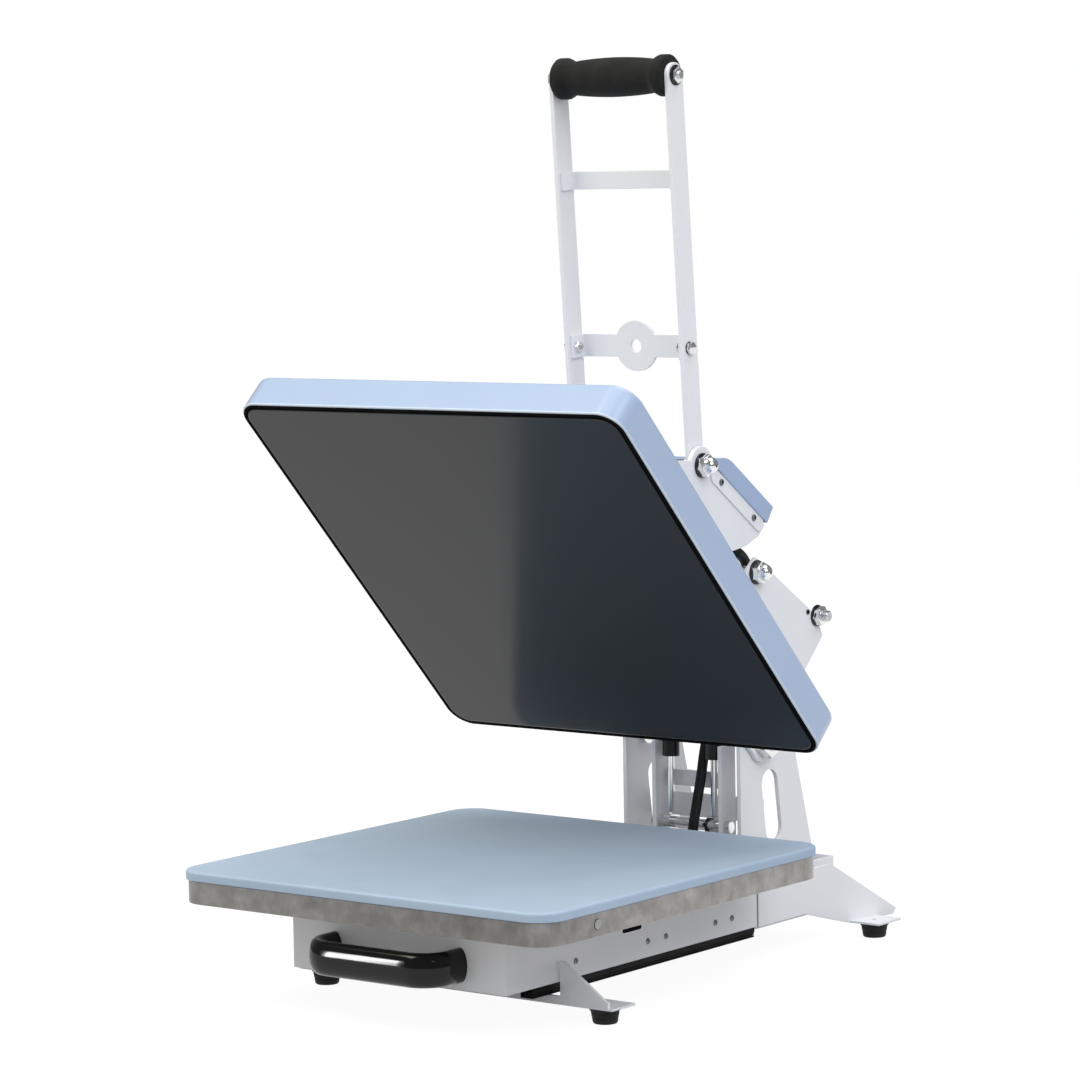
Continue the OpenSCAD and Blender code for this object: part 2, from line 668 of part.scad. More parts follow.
// Lid: a sheet with side and rear skirts and a rolled front edge
module control_lid() place() color("lightsteelblue") on_lid() difference() {
    union() {
        from_side(-lid_half_w, 2 * lid_half_w) {
            translate([0, -lid_skirt]) square([lid_d, lid_skirt]);
            intersection() {
                spot([0, -lid_front_r], lid_front_r);
                translate([-lid_front_r, -lid_skirt]) square([2 * lid_front_r, lid_skirt]);
            }
        }
    }
    from_side(-lid_in, 2 * lid_in) {
        translate([0, -2 * lid_skirt]) square([lid_d - lid_t, 2 * lid_skirt - lid_t]);
        spot([0, -lid_front_r], lid_front_r - lid_t);
        translate([-2 * lid_front_r, -2 * lid_skirt]) square([2 * lid_front_r, 2 * lid_skirt - lid_lip]);
    }
}

// Chassis: a box behind the front panel, hung from a saddle that is screwed to the arm plates
chassis_y = [4, lid_d - 4];
flange_z = -lid_skirt - flange_h / 2;
chassis_brow_z = panel_z + 7;
switch_end_play = 1.2;
module control_chassis() place() color("gainsboro") on_lid() difference() {
    union() {
        from_side(-chassis_half_w, 2 * chassis_half_w) polygon([
            [panel_y, panel_z], [chassis_y[0], chassis_brow_z], [chassis_y[0], -lid_t],
            [chassis_y[1], -lid_t], [chassis_y[1], -chassis_h], panel_foot
        ]);
        block([-lid_in, lid_in], chassis_y, [-lid_t - chassis_t, -lid_t]);
        both_sides() {
            block([arm_out, lid_in], chassis_y, [flange_z, -lid_t]);
            from_side(arm_out, lid_in - arm_out)
                strap([flange_y[0] + flange_h / 2, flange_z],
                    [flange_y[1] - flange_h / 2, flange_z], flange_h);
        }
    }
    from_side(-chassis_half_w + chassis_t, 2 * (chassis_half_w - chassis_t)) polygon([
        [panel_y + 2 * chassis_t, panel_z - chassis_t], [chassis_y[0] + chassis_t, chassis_brow_z - 1],
        [chassis_y[0] + chassis_t, 0], [chassis_y[1] - chassis_t, 0],
        [chassis_y[1] - chassis_t, -chassis_h + chassis_t],
        [panel_foot[0] + 2 * chassis_t, panel_foot[1] + chassis_t]
    ]);
    block([switch_x - switch_w / 2 - side_gap, switch_x + switch_w / 2 + side_gap],
        [chassis_y[1] - 2 * chassis_t, chassis_y[1] + 1],
        [switch_z - switch_h / 2 - switch_end_play, switch_z + switch_h / 2 + switch_end_play]);
}

// Screws that hold the saddle's flanges
module lid_screws() place() color("silver") on_lid() both_sides() for (y = lid_screw_y)
    across(lid_in, lid_in + 2, [y, flange_z], 6.5);

// Front panel with its display and buttons, tilted back between the handle bars
display_x = [-44, 8];
display_z = [-32, -10];
display_t = 1.6;
button_travel = 0.8;
button_proud = 1.5;
button_x = [18, 30, 42];
button_z = -21;
module on_panel() on_lid() translate([0, panel_y, panel_z]) rotate([-panel_tilt, 0, 0]) children();
module control_panel() place() color("dimgray") on_panel() difference() {
    block([-panel_half_w, panel_half_w], [-panel_t, 0], [-panel_h, 0]);
    block(display_x, [-panel_t - 1, -panel_t + display_t], display_z);
    for (x = button_x) translate([x, -panel_t - 1, button_z]) rotate([-90, 0, 0])
        cylinder(d = button_d + 2 * side_gap, h = panel_t);
}
module display() place() color("black") on_panel()
    block(display_x, [-panel_t, -panel_t + display_t], display_z);
module button(x) place() color("white") on_panel() translate([x, -panel_t - button_proud, button_z])
    rotate([-90, 0, 0]) cylinder(d = button_d, h = panel_t + button_proud - 1 - button_travel - 0.3);
module button_up() button(button_x[0]);
module button_down() button(button_x[1]);
module button_set() button(button_x[2]);

// Rocker switch in the rear wall of the chassis, drawn switched off
switch_pin_d = 3;
switch_pin = side_gap - 0.1;
module power_switch() place() color("black") on_lid()
    translate([switch_x, chassis_y[1] - chassis_t / 2, switch_z]) rotate([-switch_throw / 2, 0, 0]) {
        block([-switch_w / 2, switch_w / 2], [-4, 3], [-switch_h / 2, switch_h / 2]);
        across(-switch_w / 2 - switch_pin, switch_w / 2 + switch_pin, [0, 0], switch_pin_d);
    }

// Handle, laid out upright on its pivot
module on_handle() translate([0, handle_open[0], handle_open[1]]) rotate([handle_lean, 0, 0]) children();
grip_len = 2 * bar_in - 1;
cross_z = [232, 247];
disc_bar_z = 99;
disc_bar_h = 19;
disc_hole_d = 11.5;
tab_t = 3;
tab_d = 18;
strip_y = [bar_w / 2 - tab_t, bar_w / 2];
grip_pin = [0, handle_len];
disc_pin = [strip_y[1] - 2 * tab_d / 3, disc_bar_z];
disc_bolt_d = 6;
disc_head_d = 11;
disc_nut_d = 8.5;
knee_pin = [0, -knee_arm];
module handle_bar() on_handle() from_side(bar_in, bar_t) difference() {
    strap(knee_pin, grip_pin, bar_w);
    spot([0, 0], bolt_d / 2 + run_fit);
    spot(grip_pin, bolt_d / 2);
    spot(knee_pin, knee_pin_d / 2);
    spot(disc_pin, disc_bolt_d / 2);
}
module handle_bar_right() place() color("whitesmoke") handle_bar();
module handle_bar_left() place() color("whitesmoke") mirror([1, 0, 0]) handle_bar();

// Foam grip: a waisted sleeve with a flange at each end
grip_flange = 8;
grip_taper = 22;
grip_neck_d = grip_d - 7;
grip_belly_d = grip_d - 2;
module handle_grip() place() color("black") on_handle() translate([-grip_len / 2, 0, handle_len])
    rotate([0, 90, 0]) difference() {
        union() {
            for (z = [0, grip_len - grip_flange]) translate([0, 0, z])
                cylinder(d = grip_d, h = grip_flange);
            translate([0, 0, grip_flange]) cylinder(d1 = grip_neck_d, d2 = grip_belly_d, h = grip_taper);
            translate([0, 0, grip_flange + grip_taper])
                cylinder(d = grip_belly_d, h = grip_len - 2 * (grip_flange + grip_taper));
            translate([0, 0, grip_len - grip_flange - grip_taper])
                cylinder(d1 = grip_belly_d, d2 = grip_neck_d, h = grip_taper);
        }
        translate([0, 0, -1]) cylinder(d = bolt_d, h = grip_len + 2);
    }
module grip_rod() place() color("silver") on_handle() {
    across(-bar_out, bar_out, grip_pin, bolt_d);
    both_sides() {
        across(bar_out, bar_out + 3, grip_pin, bolt_d + 8);
        across(bar_out + 3, bar_out + 5, grip_pin, bolt_d + 4);
    }
}

// Cross bars of the handle, each a strip behind the bars with its ends bent forward along them
bend_r = 6;
module bent_strip(z) translate([0, strip_y[1] - tab_d, z[0]]) {
    h = z[1] - z[0];
    intersection() {
        translate([-bar_in, 0, 0]) cube([2 * bar_in, tab_d, h]);
        difference() {
            linear_extrude(h) rounded_rect(2 * bar_in, 2 * tab_d, bend_r);
            translate([0, 0, -1]) linear_extrude(h + 2)
                rounded_rect(2 * (bar_in - tab_t), 2 * (tab_d - tab_t), bend_r - tab_t);
        }
    }
}
module handle_cross_bar() place() color("whitesmoke") on_handle() bent_strip(cross_z);
module handle_disc_bar() place() color("whitesmoke") on_handle() difference() {
    union() {
        bent_strip([disc_bar_z - disc_bar_h / 2, disc_bar_z + disc_bar_h / 2]);
        from_front(strip_y[0], tab_t) spot([0, disc_bar_z], disc_d / 2);
    }
    from_front(strip_y[0] - 1, tab_t + 2) spot([0, disc_bar_z], disc_hole_d / 2);
    across(-bar_in - 1, bar_in + 1, disc_pin, disc_bolt_d);
}
module handle_bolts() place() color("silver") on_handle() both_sides() {
    across(bar_in - tab_t - 5, bar_out, disc_pin, disc_bolt_d);
    across(bar_out, bar_out + 4, disc_pin, disc_head_d);
    across(bar_in - tab_t - 5, bar_in - tab_t, disc_pin, disc_nut_d);
}

// Knee pins: fixed in the bars, through the wide eyes of the links, with a washer inside
module knee_pins() place() color("silver") on_handle() both_sides() {
    across(link_in - side_gap - 2, bar_out, knee_pin, knee_pin_d);
    across(link_in - side_gap - 2, link_in - side_gap, knee_pin, 22);
}

// Links from the fixed pins on the uprights to the knee pins
function on_handle_yz(p) = [
    handle_open[0] + p[0] * cos(handle_lean) - p[1] * sin(handle_lean),
    handle_open[1] + p[0] * sin(handle_lean) + p[1] * cos(handle_lean)
];
knee_open = on_handle_yz(knee_pin);
module link() from_side(link_in, link_t) difference() {
    strap(link_pivot, knee_open, link_w);
    spot(link_pivot, bolt_d / 2 + run_fit);
    spot(knee_open, knee_pin_d / 2 + knee_play);
}
module link_right() place() color("gainsboro") link();
module link_left() place() color("gainsboro") mirror([1, 0, 0]) link();

// Gas springs, laid out along the line from the lower pin to the upper cross bolt
gas_x = 23;
gas_d = 15;
gas_bore = 12;
gas_rod_d = 6;
gas_eye_r = 13;
gas_eye_t = 8;
gas_low_z = 58;
gas_cap = 8;
gas_span = norm(spring_bolt_open - spring_pivot);
gas_top_z = gas_span - gas_eye_r - 6;
gas_tilt = atan2(spring_bolt_open[0] - spring_pivot[0], spring_bolt_open[1] - spring_pivot[1]);
module on_gas_spring() translate([gas_x, spring_pivot[0], spring_pivot[1]])
    rotate([-gas_tilt, 0, 0]) children();
module gas_rod() on_gas_spring() difference() {
    union() {
        across(-gas_eye_t / 2, gas_eye_t / 2, [0, 0], 2 * gas_eye_r - 8);
        cylinder(d = gas_rod_d, h = gas_low_z + gas_cap + 6);
        translate([0, 0, gas_low_z + gas_cap + 4]) cylinder(d = gas_bore - 2 * run_fit, h = 8);
    }
    across(-gas_eye_t, gas_eye_t, [0, 0], bolt_d + 2 * run_fit);
}
module gas_cylinder() on_gas_spring() difference() {
    union() {
        across(-gas_eye_t / 2, gas_eye_t / 2, [0, gas_span], 2 * gas_eye_r);
        translate([0, 0, gas_low_z]) cylinder(d = gas_d, h = gas_top_z - gas_low_z);
        translate([0, 0, gas_top_z - 1]) cylinder(d = 7, h = gas_span - gas_eye_r - gas_top_z + 4);
    }
    across(-gas_eye_t, gas_eye_t, [0, gas_span], bolt_d + 2 * eye_play);
    translate([0, 0, gas_low_z - 1]) cylinder(d = gas_rod_d + 2 * run_fit, h = gas_cap + 2);
    translate([0, 0, gas_low_z + gas_cap]) cylinder(d = gas_bore, h = gas_top_z - gas_low_z - 2 * gas_cap);
}
module gas_rod_right() place() color("silver") gas_rod();
module gas_rod_left() place() color("silver") mirror([1, 0, 0]) gas_rod();
module gas_cylinder_right() place() color("black") gas_cylinder();
module gas_cylinder_left() place() color("black") mirror([1, 0, 0]) gas_cylinder();

base_tray();
front_leg();
rear_leg_left();
rear_leg_right();
upright_left();
upright_right();
spring_frame();
rear_cross_bar();
slide_fixed();
feet();
pivot_axles();
axle_nuts();
spring_lower_pin();
link_pins();
power_inlet();
head_cable();
drawer_carriage();
drawer_pull();
lower_platen();
silicone_pad();
slide_inner();
slide_screws();
platen_screws();
edge_plugs();
slide_middle();
arm_plate_left();
arm_plate_right();
platen_bracket();
arm_cross_bolts();
arm_nuts();
handle_pivot_bolts();
heat_platen();
platen_cover();
rim_seal();
heating_element();
insulation();
control_chassis();
control_lid();
control_panel();
display();
lid_screws();
button_up();
button_down();
button_set();
power_switch();
pressure_knob();
handle_bar_left();
handle_bar_right();
handle_grip();
grip_rod();
handle_cross_bar();
handle_disc_bar();
handle_bolts();
knee_pins();
link_left();
link_right();
gas_rod_left();
gas_rod_right();
gas_cylinder_left();
gas_cylinder_right();
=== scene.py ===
"""Looks of the slide-out heat press: finishes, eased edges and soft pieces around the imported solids."""

import json
import math

import bpy
from mathutils import Euler, Matrix, Vector

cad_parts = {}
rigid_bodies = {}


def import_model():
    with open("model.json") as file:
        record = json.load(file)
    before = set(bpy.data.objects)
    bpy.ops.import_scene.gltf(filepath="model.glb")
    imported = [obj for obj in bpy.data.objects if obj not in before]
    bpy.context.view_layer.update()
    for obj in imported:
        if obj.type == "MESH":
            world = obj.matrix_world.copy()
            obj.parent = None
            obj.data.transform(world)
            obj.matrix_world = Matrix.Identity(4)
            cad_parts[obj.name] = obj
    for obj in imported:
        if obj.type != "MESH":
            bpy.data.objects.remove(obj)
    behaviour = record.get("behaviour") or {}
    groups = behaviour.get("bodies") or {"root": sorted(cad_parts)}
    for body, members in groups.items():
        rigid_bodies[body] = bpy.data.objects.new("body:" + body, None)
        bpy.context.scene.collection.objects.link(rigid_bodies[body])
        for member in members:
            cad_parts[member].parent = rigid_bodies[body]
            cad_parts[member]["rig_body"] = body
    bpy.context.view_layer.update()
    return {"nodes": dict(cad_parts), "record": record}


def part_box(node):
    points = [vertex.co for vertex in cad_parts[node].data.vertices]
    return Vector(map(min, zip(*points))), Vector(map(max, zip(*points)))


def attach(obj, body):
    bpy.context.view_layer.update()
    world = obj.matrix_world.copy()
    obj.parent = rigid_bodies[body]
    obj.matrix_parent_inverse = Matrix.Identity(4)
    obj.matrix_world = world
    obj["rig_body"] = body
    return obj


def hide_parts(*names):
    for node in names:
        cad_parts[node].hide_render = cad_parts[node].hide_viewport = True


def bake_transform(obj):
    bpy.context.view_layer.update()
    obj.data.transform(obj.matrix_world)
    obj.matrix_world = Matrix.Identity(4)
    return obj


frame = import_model()
nodes = frame["nodes"]

# Places that the pieces share, in metres
PAD_Y = -0.10525
PIVOT = Vector((0, 0.17475, 0.176))
OPEN = math.radians(-46.5)
FACE_Z = 0.1116
LEAN = math.radians(4)
HEAD_LOW = Vector((-0.1945, PAD_Y - 0.2035, FACE_Z))
HEAD_HIGH = Vector((0.1945, PAD_Y + 0.2065, FACE_Z + 0.033))
HEAD_CORNER = 0.021
LID_HINGE = (0.061 + PAD_Y, 0.309)
LID_SLOPE = math.radians(11)
HANDLE_PIVOT = (0.08777, 0.42019)
HANDLE_LENGTH = 0.326
SPRING_BOLT = (0.16588, 0.32336)
TIE_BOLT = (0.25803, 0.27709)
# Outer faces of the handle bars, the arm plates and the drawer's sides
BAR_OUT = 0.062
ARM_OUT = 0.067
DRAWER_OUT = 0.109
# Thickness of the cover's and the lid's sheet, and radius of the cable
SHEET = 0.0015
CABLE_RADIUS = 0.0045


# Places on the open handle and the open control box
def handle_point(across, along):
    """A place on the open handle, from across its bars and along them."""
    return (HANDLE_PIVOT[0] + across * math.cos(LEAN) - along * math.sin(LEAN),
            HANDLE_PIVOT[1] + across * math.sin(LEAN) + along * math.cos(LEAN))


def lid_place(along, height):
    """A place on the open control box, from along its lid and under it."""
    point = Vector((0, LID_HINGE[0] + along * math.cos(LID_SLOPE) - height * math.sin(LID_SLOPE),
                    LID_HINGE[1] + along * math.sin(LID_SLOPE) + height * math.cos(LID_SLOPE)))
    point = Matrix.Rotation(OPEN, 3, "X") @ (point - PIVOT) + PIVOT
    return point.y, point.z


# Camera at the photograph's angle
def set_camera():
    azimuth = math.radians(37.71)
    drop = math.radians(5.19)
    roll = math.radians(-1.03)
    level = math.cos(drop)
    ahead = Vector((-math.sin(azimuth) * level, math.cos(azimuth) * level, -math.sin(drop)))
    right = Vector((math.cos(azimuth), math.sin(azimuth), 0))
    up = right.cross(ahead)
    level_right = math.cos(roll) * right + math.sin(roll) * up
    level_up = -math.sin(roll) * right + math.cos(roll) * up
    turn = Matrix((level_right, level_up, -ahead)).transposed()
    bpy.ops.object.camera_add(location=(2.0160, -2.65635, 0.6654), rotation=turn.to_euler())
    camera = bpy.context.object
    camera.data.lens = 134.1
    camera.data.sensor_width = 36
    camera.data.sensor_fit = "AUTO"
    camera.data.clip_end = 60
    bpy.context.scene.camera = camera


# Selecting and shaping by hand
def only(piece):
    bpy.ops.object.select_all(action="DESELECT")
    piece.select_set(True)
    bpy.context.view_layer.objects.active = piece


def edit(piece):
    only(piece)
    bpy.ops.object.mode_set(mode="EDIT")


def done():
    bpy.ops.object.mode_set(mode="OBJECT")


def pick_none(piece, kind):
    edit(piece)
    bpy.ops.mesh.select_mode(type=kind)
    bpy.ops.mesh.select_all(action="DESELECT")
    done()


def pick_edges(piece, wanted):
    pick_none(piece, "EDGE")
    points = piece.data.vertices
    for edge in piece.data.edges:
        a, b = points[edge.vertices[0]].co, points[edge.vertices[1]].co
        edge.select = wanted(a, b)
    bpy.ops.object.mode_set(mode="EDIT")


def pick_faces(piece, wanted):
    pick_none(piece, "FACE")
    for face in piece.data.polygons:
        face.select = wanted(face.center, face.normal)
    bpy.ops.object.mode_set(mode="EDIT")


def apply_place(piece):
    only(piece)
    bpy.ops.object.transform_apply(location=True, rotation=True, scale=True)


def turn_about(piece, point, angle):
    turn = Matrix.Translation(point) @ Matrix.Rotation(angle, 4, "X") @ Matrix.Translation(-point)
    piece.matrix_world = turn @ piece.matrix_world
    apply_place(piece)


def raise_head(piece):
    turn_about(piece, PIVOT, OPEN)


def smooth(piece, degrees=35):
    only(piece)
    bpy.ops.object.shade_smooth_by_angle(angle=math.radians(degrees))


def apply_modifier(piece, modifier):
    only(piece)
    bpy.ops.object.modifier_apply(modifier=modifier.name)


def flat_sides(piece):
    """Keeps broad faces flat in the light, so that only the rounded edges turn."""
    even = piece.modifiers.new("flat_sides", "WEIGHTED_NORMAL")
    even.keep_sharp = True
    apply_modifier(piece, even)


def thicken(piece, even=False):
    """Gives an open shell the thickness of its sheet, inward."""
    wall = piece.modifiers.new("sheet", "SOLIDIFY")
    wall.thickness = SHEET
    wall.offset = -1
    wall.use_even_offset = even
    apply_modifier(piece, wall)


def break_edges(piece, width, clamp):
    """Breaks sharp edges, as deburred and coated metal has them."""
    bevel = piece.modifiers.new("broken_edges", "BEVEL")
    bevel.width = width
    bevel.segments = 2
    bevel.limit_method = "ANGLE"
    bevel.angle_limit = math.radians(30)
    bevel.use_clamp_overlap = clamp
    apply_modifier(piece, bevel)


def brick(name, low, high):
    middle = [(a + b) / 2 for a, b in zip(low, high)]
    bpy.ops.object.select_all(action="DESELECT")
    bpy.ops.mesh.primitive_cube_add(size=1, location=middle)
    piece = bpy.context.object
    piece.name = name
    piece.scale = [b - a for a, b in zip(low, high)]
    apply_place(piece)
    return piece


def upright_edge(a, b):
    return abs(a.z - b.z) > 1e-4 and abs(a.x - b.x) + abs(a.y - b.y) < 1e-5


def round_picked(radius, segments):
    bpy.ops.mesh.bevel(offset=radius, segments=segments, affect="EDGES")
    done()


def round_corners(piece, radius, segments):
    pick_edges(piece, upright_edge)
    round_picked(radius, segments)


def round_rim(piece, height, radius, segments):
    pick_edges(piece, lambda a, b: abs(a.z - height) < 1e-5 and abs(b.z - height) < 1e-5)
    round_picked(radius, segments)


def turned(name, profile, steps=48):
    """A turned piece: a profile of (along, radius) pairs spun about the X direction."""
    bpy.ops.object.select_all(action="DESELECT")
    bpy.ops.mesh.primitive_circle_add(vertices=len(profile), radius=1, location=(0, 0, 0))
    piece = bpy.context.object
    piece.name = name
    for point, (along, radius) in zip(piece.data.vertices, profile):
        point.co = (along, 0, radius)
    ends = {0, len(profile) - 1}
    pick_none(piece, "EDGE")
    for edge in piece.data.edges:
        edge.select = set(edge.vertices) == ends
    bpy.ops.object.mode_set(mode="EDIT")
    bpy.ops.mesh.delete(type="EDGE_FACE")
    bpy.ops.mesh.select_all(action="SELECT")
    bpy.ops.mesh.spin(steps=steps, angle=2 * math.pi, center=(0, 0, 0), axis=(1, 0, 0))
    bpy.ops.mesh.select_all(action="SELECT")
    bpy.ops.mesh.remove_doubles(threshold=1e-6)
    bpy.ops.mesh.normals_make_consistent(inside=False)
    done()
    return piece


def copy_of(piece, name):
    twin = piece.copy()
    twin.data = piece.data.copy()
    twin.name = name
    bpy.context.scene.collection.objects.link(twin)
    return twin


def placed_copies(name, pattern, places):
    """One piece of copies of a pattern along +X: each place is (point, turn)."""
    twins = []
    for point, turn in places:
        twin = copy_of(pattern, name + "_copy")
        twin.location = point
        twin.rotation_euler = turn
        apply_place(twin)
        twins.append(twin)
    bpy.data.objects.remove(pattern)
    return joined(name, twins)


def joined(name, parts):
    bpy.ops.object.select_all(action="DESELECT")
    for part in parts:
        part.select_set(True)
    bpy.context.view_layer.objects.active = parts[0]
    bpy.ops.object.join()
    piece = bpy.context.object
    piece.name = name
    return piece


# Finishes
def shader(name):
    material = bpy.data.materials.new(name)
    material.use_nodes = True
    tree = material.node_tree
    return material, tree, tree.nodes["Principled BSDF"]


def add(tree, kind, **settings):
    node = tree.nodes.new(kind)
    for key, value in settings.items():
        setattr(node, key, value)
    return node


def noise(tree, coords, scale, detail=4.0, roughness=0.55):
    node = add(tree, "ShaderNodeTexNoise")
    node.inputs["Scale"].default_value = scale
    node.inputs["Detail"].default_value = detail
    node.inputs["Roughness"].default_value = roughness
    tree.links.new(coords, node.inputs["Vector"])
    return node.outputs["Fac"]


def ramp(tree, factor, stops):
    node = add(tree, "ShaderNodeValToRGB")
    while len(node.color_ramp.elements) < len(stops):
        node.color_ramp.elements.new(0.5)
    for element, (place, colour) in zip(node.color_ramp.elements, stops):
        element.position = place
        element.color = (*colour, 1)
    tree.links.new(factor, node.inputs["Fac"])
    return node.outputs["Color"]


def spread(tree, factor, low, high, start=0.3, end=0.7):
    node = add(tree, "ShaderNodeMapRange")
    node.inputs["From Min"].default_value = start
    node.inputs["From Max"].default_value = end
    node.inputs["To Min"].default_value = low
    node.inputs["To Max"].default_value = high
    tree.links.new(factor, node.inputs["Value"])
    return node.outputs["Result"]


def relief(tree, bsdf, height, strength, depth):
    node = add(tree, "ShaderNodeBump")
    node.inputs["Strength"].default_value = strength
    node.inputs["Distance"].default_value = depth
    tree.links.new(height, node.inputs["Height"])
    tree.links.new(node.outputs["Normal"], bsdf.inputs["Normal"])


def stretched(tree, coords, scale):
    node = add(tree, "ShaderNodeMapping")
    node.inputs["Scale"].default_value = scale
    tree.links.new(coords, node.inputs["Vector"])
    return node.outputs["Vector"]


def shade(colour, factor):
    return tuple(min(1.0, c * factor) for c in colour)


def coated(name, colour, rough, drift=0.03, peel=220.0, peel_depth=0.0002, peel_strength=0.12, coat=0.0,
           coat_rough=0.08, shine=0.5):
    """Paint, plating or moulding: slow drift of tone, a little uneven gloss and a fine skin."""
    material, tree, bsdf = shader(name)
    coords = add(tree, "ShaderNodeTexCoord").outputs["Object"]
    slow = noise(tree, coords, 9.0, 0.0)
    tone = ramp(tree, slow, [(0.3, shade(colour, 1 - drift)), (0.7, shade(colour, 1 + drift))])
    tree.links.new(tone, bsdf.inputs["Base Color"])
    gloss = noise(tree, coords, 45.0, 0.0)
    tree.links.new(spread(tree, gloss, rough * 0.85, rough * 1.15, 0.0, 1.0), bsdf.inputs["Roughness"])
    if peel_strength:
        relief(tree, bsdf, noise(tree, coords, peel, 2.0), peel_strength, peel_depth)
    bsdf.inputs["Specular IOR Level"].default_value = shine
    bsdf.inputs["Coat Weight"].default_value = coat
    bsdf.inputs["Coat Roughness"].default_value = coat_rough
    return material


def cast_aluminium():
    """Bare plate: fine saw grain across the edge, cloudy oxide, and painted shade, with the front face
    darker towards its right end and the top and sides darker towards the front.
    """
    material, tree, bsdf = shader("bare_aluminium_plate")
    coords = add(tree, "ShaderNodeTexCoord").outputs["Object"]
    clouds = noise(tree, coords, 60.0, 6.0, 0.65)
    grain = noise(tree, stretched(tree, coords, (1100, 1100, 90)), 1.0, 3.0)
    mottle = add(tree, "ShaderNodeMix")
    mottle.inputs["Factor"].default_value = 0.2
    tree.links.new(clouds, mottle.inputs["A"])
    tree.links.new(grain, mottle.inputs["B"])
    tone = ramp(tree, mottle.outputs["Result"], [(0.34, (0.28, 0.268, 0.256)), (0.5, (0.34, 0.328, 0.316)),
                                                 (0.66, (0.41, 0.402, 0.394))])
    # Painted shade: the front face darker towards its right end, the top and sides darker towards the front
    place = add(tree, "ShaderNodeSeparateXYZ")
    tree.links.new(coords, place.inputs["Vector"])
    painted_shade = add(tree, "ShaderNodeMix")
    tree.links.new(spread(tree, place.outputs["Y"], 0, 1, -0.2945, -0.2925), painted_shade.inputs["Factor"])
    tree.links.new(spread(tree, place.outputs["X"], 0.8, 0.42, -0.19, 0.19), painted_shade.inputs["A"])
    tree.links.new(spread(tree, place.outputs["Y"], 0.75, 1, -0.28, -0.14), painted_shade.inputs["B"])
    shaded_tone = add(tree, "ShaderNodeVectorMath", operation="SCALE")
    tree.links.new(tone, shaded_tone.inputs["Vector"])
    tree.links.new(painted_shade.outputs["Result"], shaded_tone.inputs["Scale"])
    tree.links.new(shaded_tone.outputs["Vector"], bsdf.inputs["Base Color"])
    tree.links.new(spread(tree, clouds, 0.42, 0.3), bsdf.inputs["Roughness"])
    relief(tree, bsdf, grain, 0.2, 0.0002)
    bsdf.inputs["Metallic"].default_value = 0.92
    return material


def silicone():
    """Foamed silicone: matte, with a fine grain and faint press marks."""
    material, tree, bsdf = shader("blue_silicone_pad")
    coords = add(tree, "ShaderNodeTexCoord").outputs["Object"]
    tone = ramp(tree, noise(tree, coords, 6.0), [(0.3, (0.385, 0.49, 0.63)), (0.7, (0.43, 0.535, 0.675))])
    tree.links.new(tone, bsdf.inputs["Base Color"])
    tree.links.new(spread(tree, noise(tree, coords, 30.0), 0.5, 0.66), bsdf.inputs["Roughness"])
    relief(tree, bsdf, noise(tree, coords, 700.0, 3.0), 0.22, 0.0002)
    bsdf.inputs["Specular IOR Level"].default_value = 0.35
    bsdf.inputs["Sheen Weight"].default_value = 0.06
    return material


def foam():
    """Foam sleeve: soft black with small open pores."""
    material, tree, bsdf = shader("black_foam_grip")
    coords = add(tree, "ShaderNodeTexCoord").outputs["Object"]
    cells = add(tree, "ShaderNodeTexVoronoi")
    cells.inputs["Scale"].default_value = 900.0
    tree.links.new(coords, cells.inputs["Vector"])
    drift = noise(tree, coords, 60.0)
    tone = ramp(tree, drift, [(0.3, (0.010, 0.010, 0.010)), (0.7, (0.018, 0.018, 0.018))])
    tree.links.new(tone, bsdf.inputs["Base Color"])
    relief(tree, bsdf, cells.outputs["Distance"], 0.5, 0.0003)
    bsdf.inputs["Roughness"].default_value = 0.78
    bsdf.inputs["Specular IOR Level"].default_value = 0.2
    bsdf.inputs["Sheen Weight"].default_value = 0.03
    return material


def non_stick():
    """Dark non-stick coating: a deep gloss, with faint wipe marks in it."""
    material, tree, bsdf = shader("dark_non_stick_face")
    coords = add(tree, "ShaderNodeTexCoord").outputs["Object"]
    drift = noise(tree, coords, 5.0)
    tone = ramp(tree, drift, [(0.3, (0.004, 0.005, 0.006)), (0.7, (0.007, 0.008, 0.010))])
    wipes = noise(tree, stretched(tree, coords, (14, 5, 5)), 1.0, 2.0)
    tree.links.new(tone, bsdf.inputs["Base Color"])
    tree.links.new(spread(tree, wipes, 0.145, 0.165), bsdf.inputs["Roughness"])
    relief(tree, bsdf, noise(tree, coords, 500.0, 2.0), 0.03, 0.0001)
    bsdf.inputs["IOR"].default_value = 1.45
    return material


def plated(name, colour, rough):
    """Bright plating: fine turning marks and a slightly uneven mirror."""
    material, tree, bsdf = shader(name)
    coords = add(tree, "ShaderNodeTexCoord").outputs["Object"]
    tone = ramp(tree, noise(tree, coords, 120.0), [(0.3, shade(colour, 0.9)), (0.7, colour)])
    tree.links.new(tone, bsdf.inputs["Base Color"])
    gloss = noise(tree, coords, 260.0)
    tree.links.new(spread(tree, gloss, rough * 0.7, rough * 1.3), bsdf.inputs["Roughness"])
    relief(tree, bsdf, noise(tree, stretched(tree, coords, (700, 60, 60)), 1.0, 2.0), 0.04, 0.0001)
    bsdf.inputs["Metallic"].default_value = 1.0
    return material


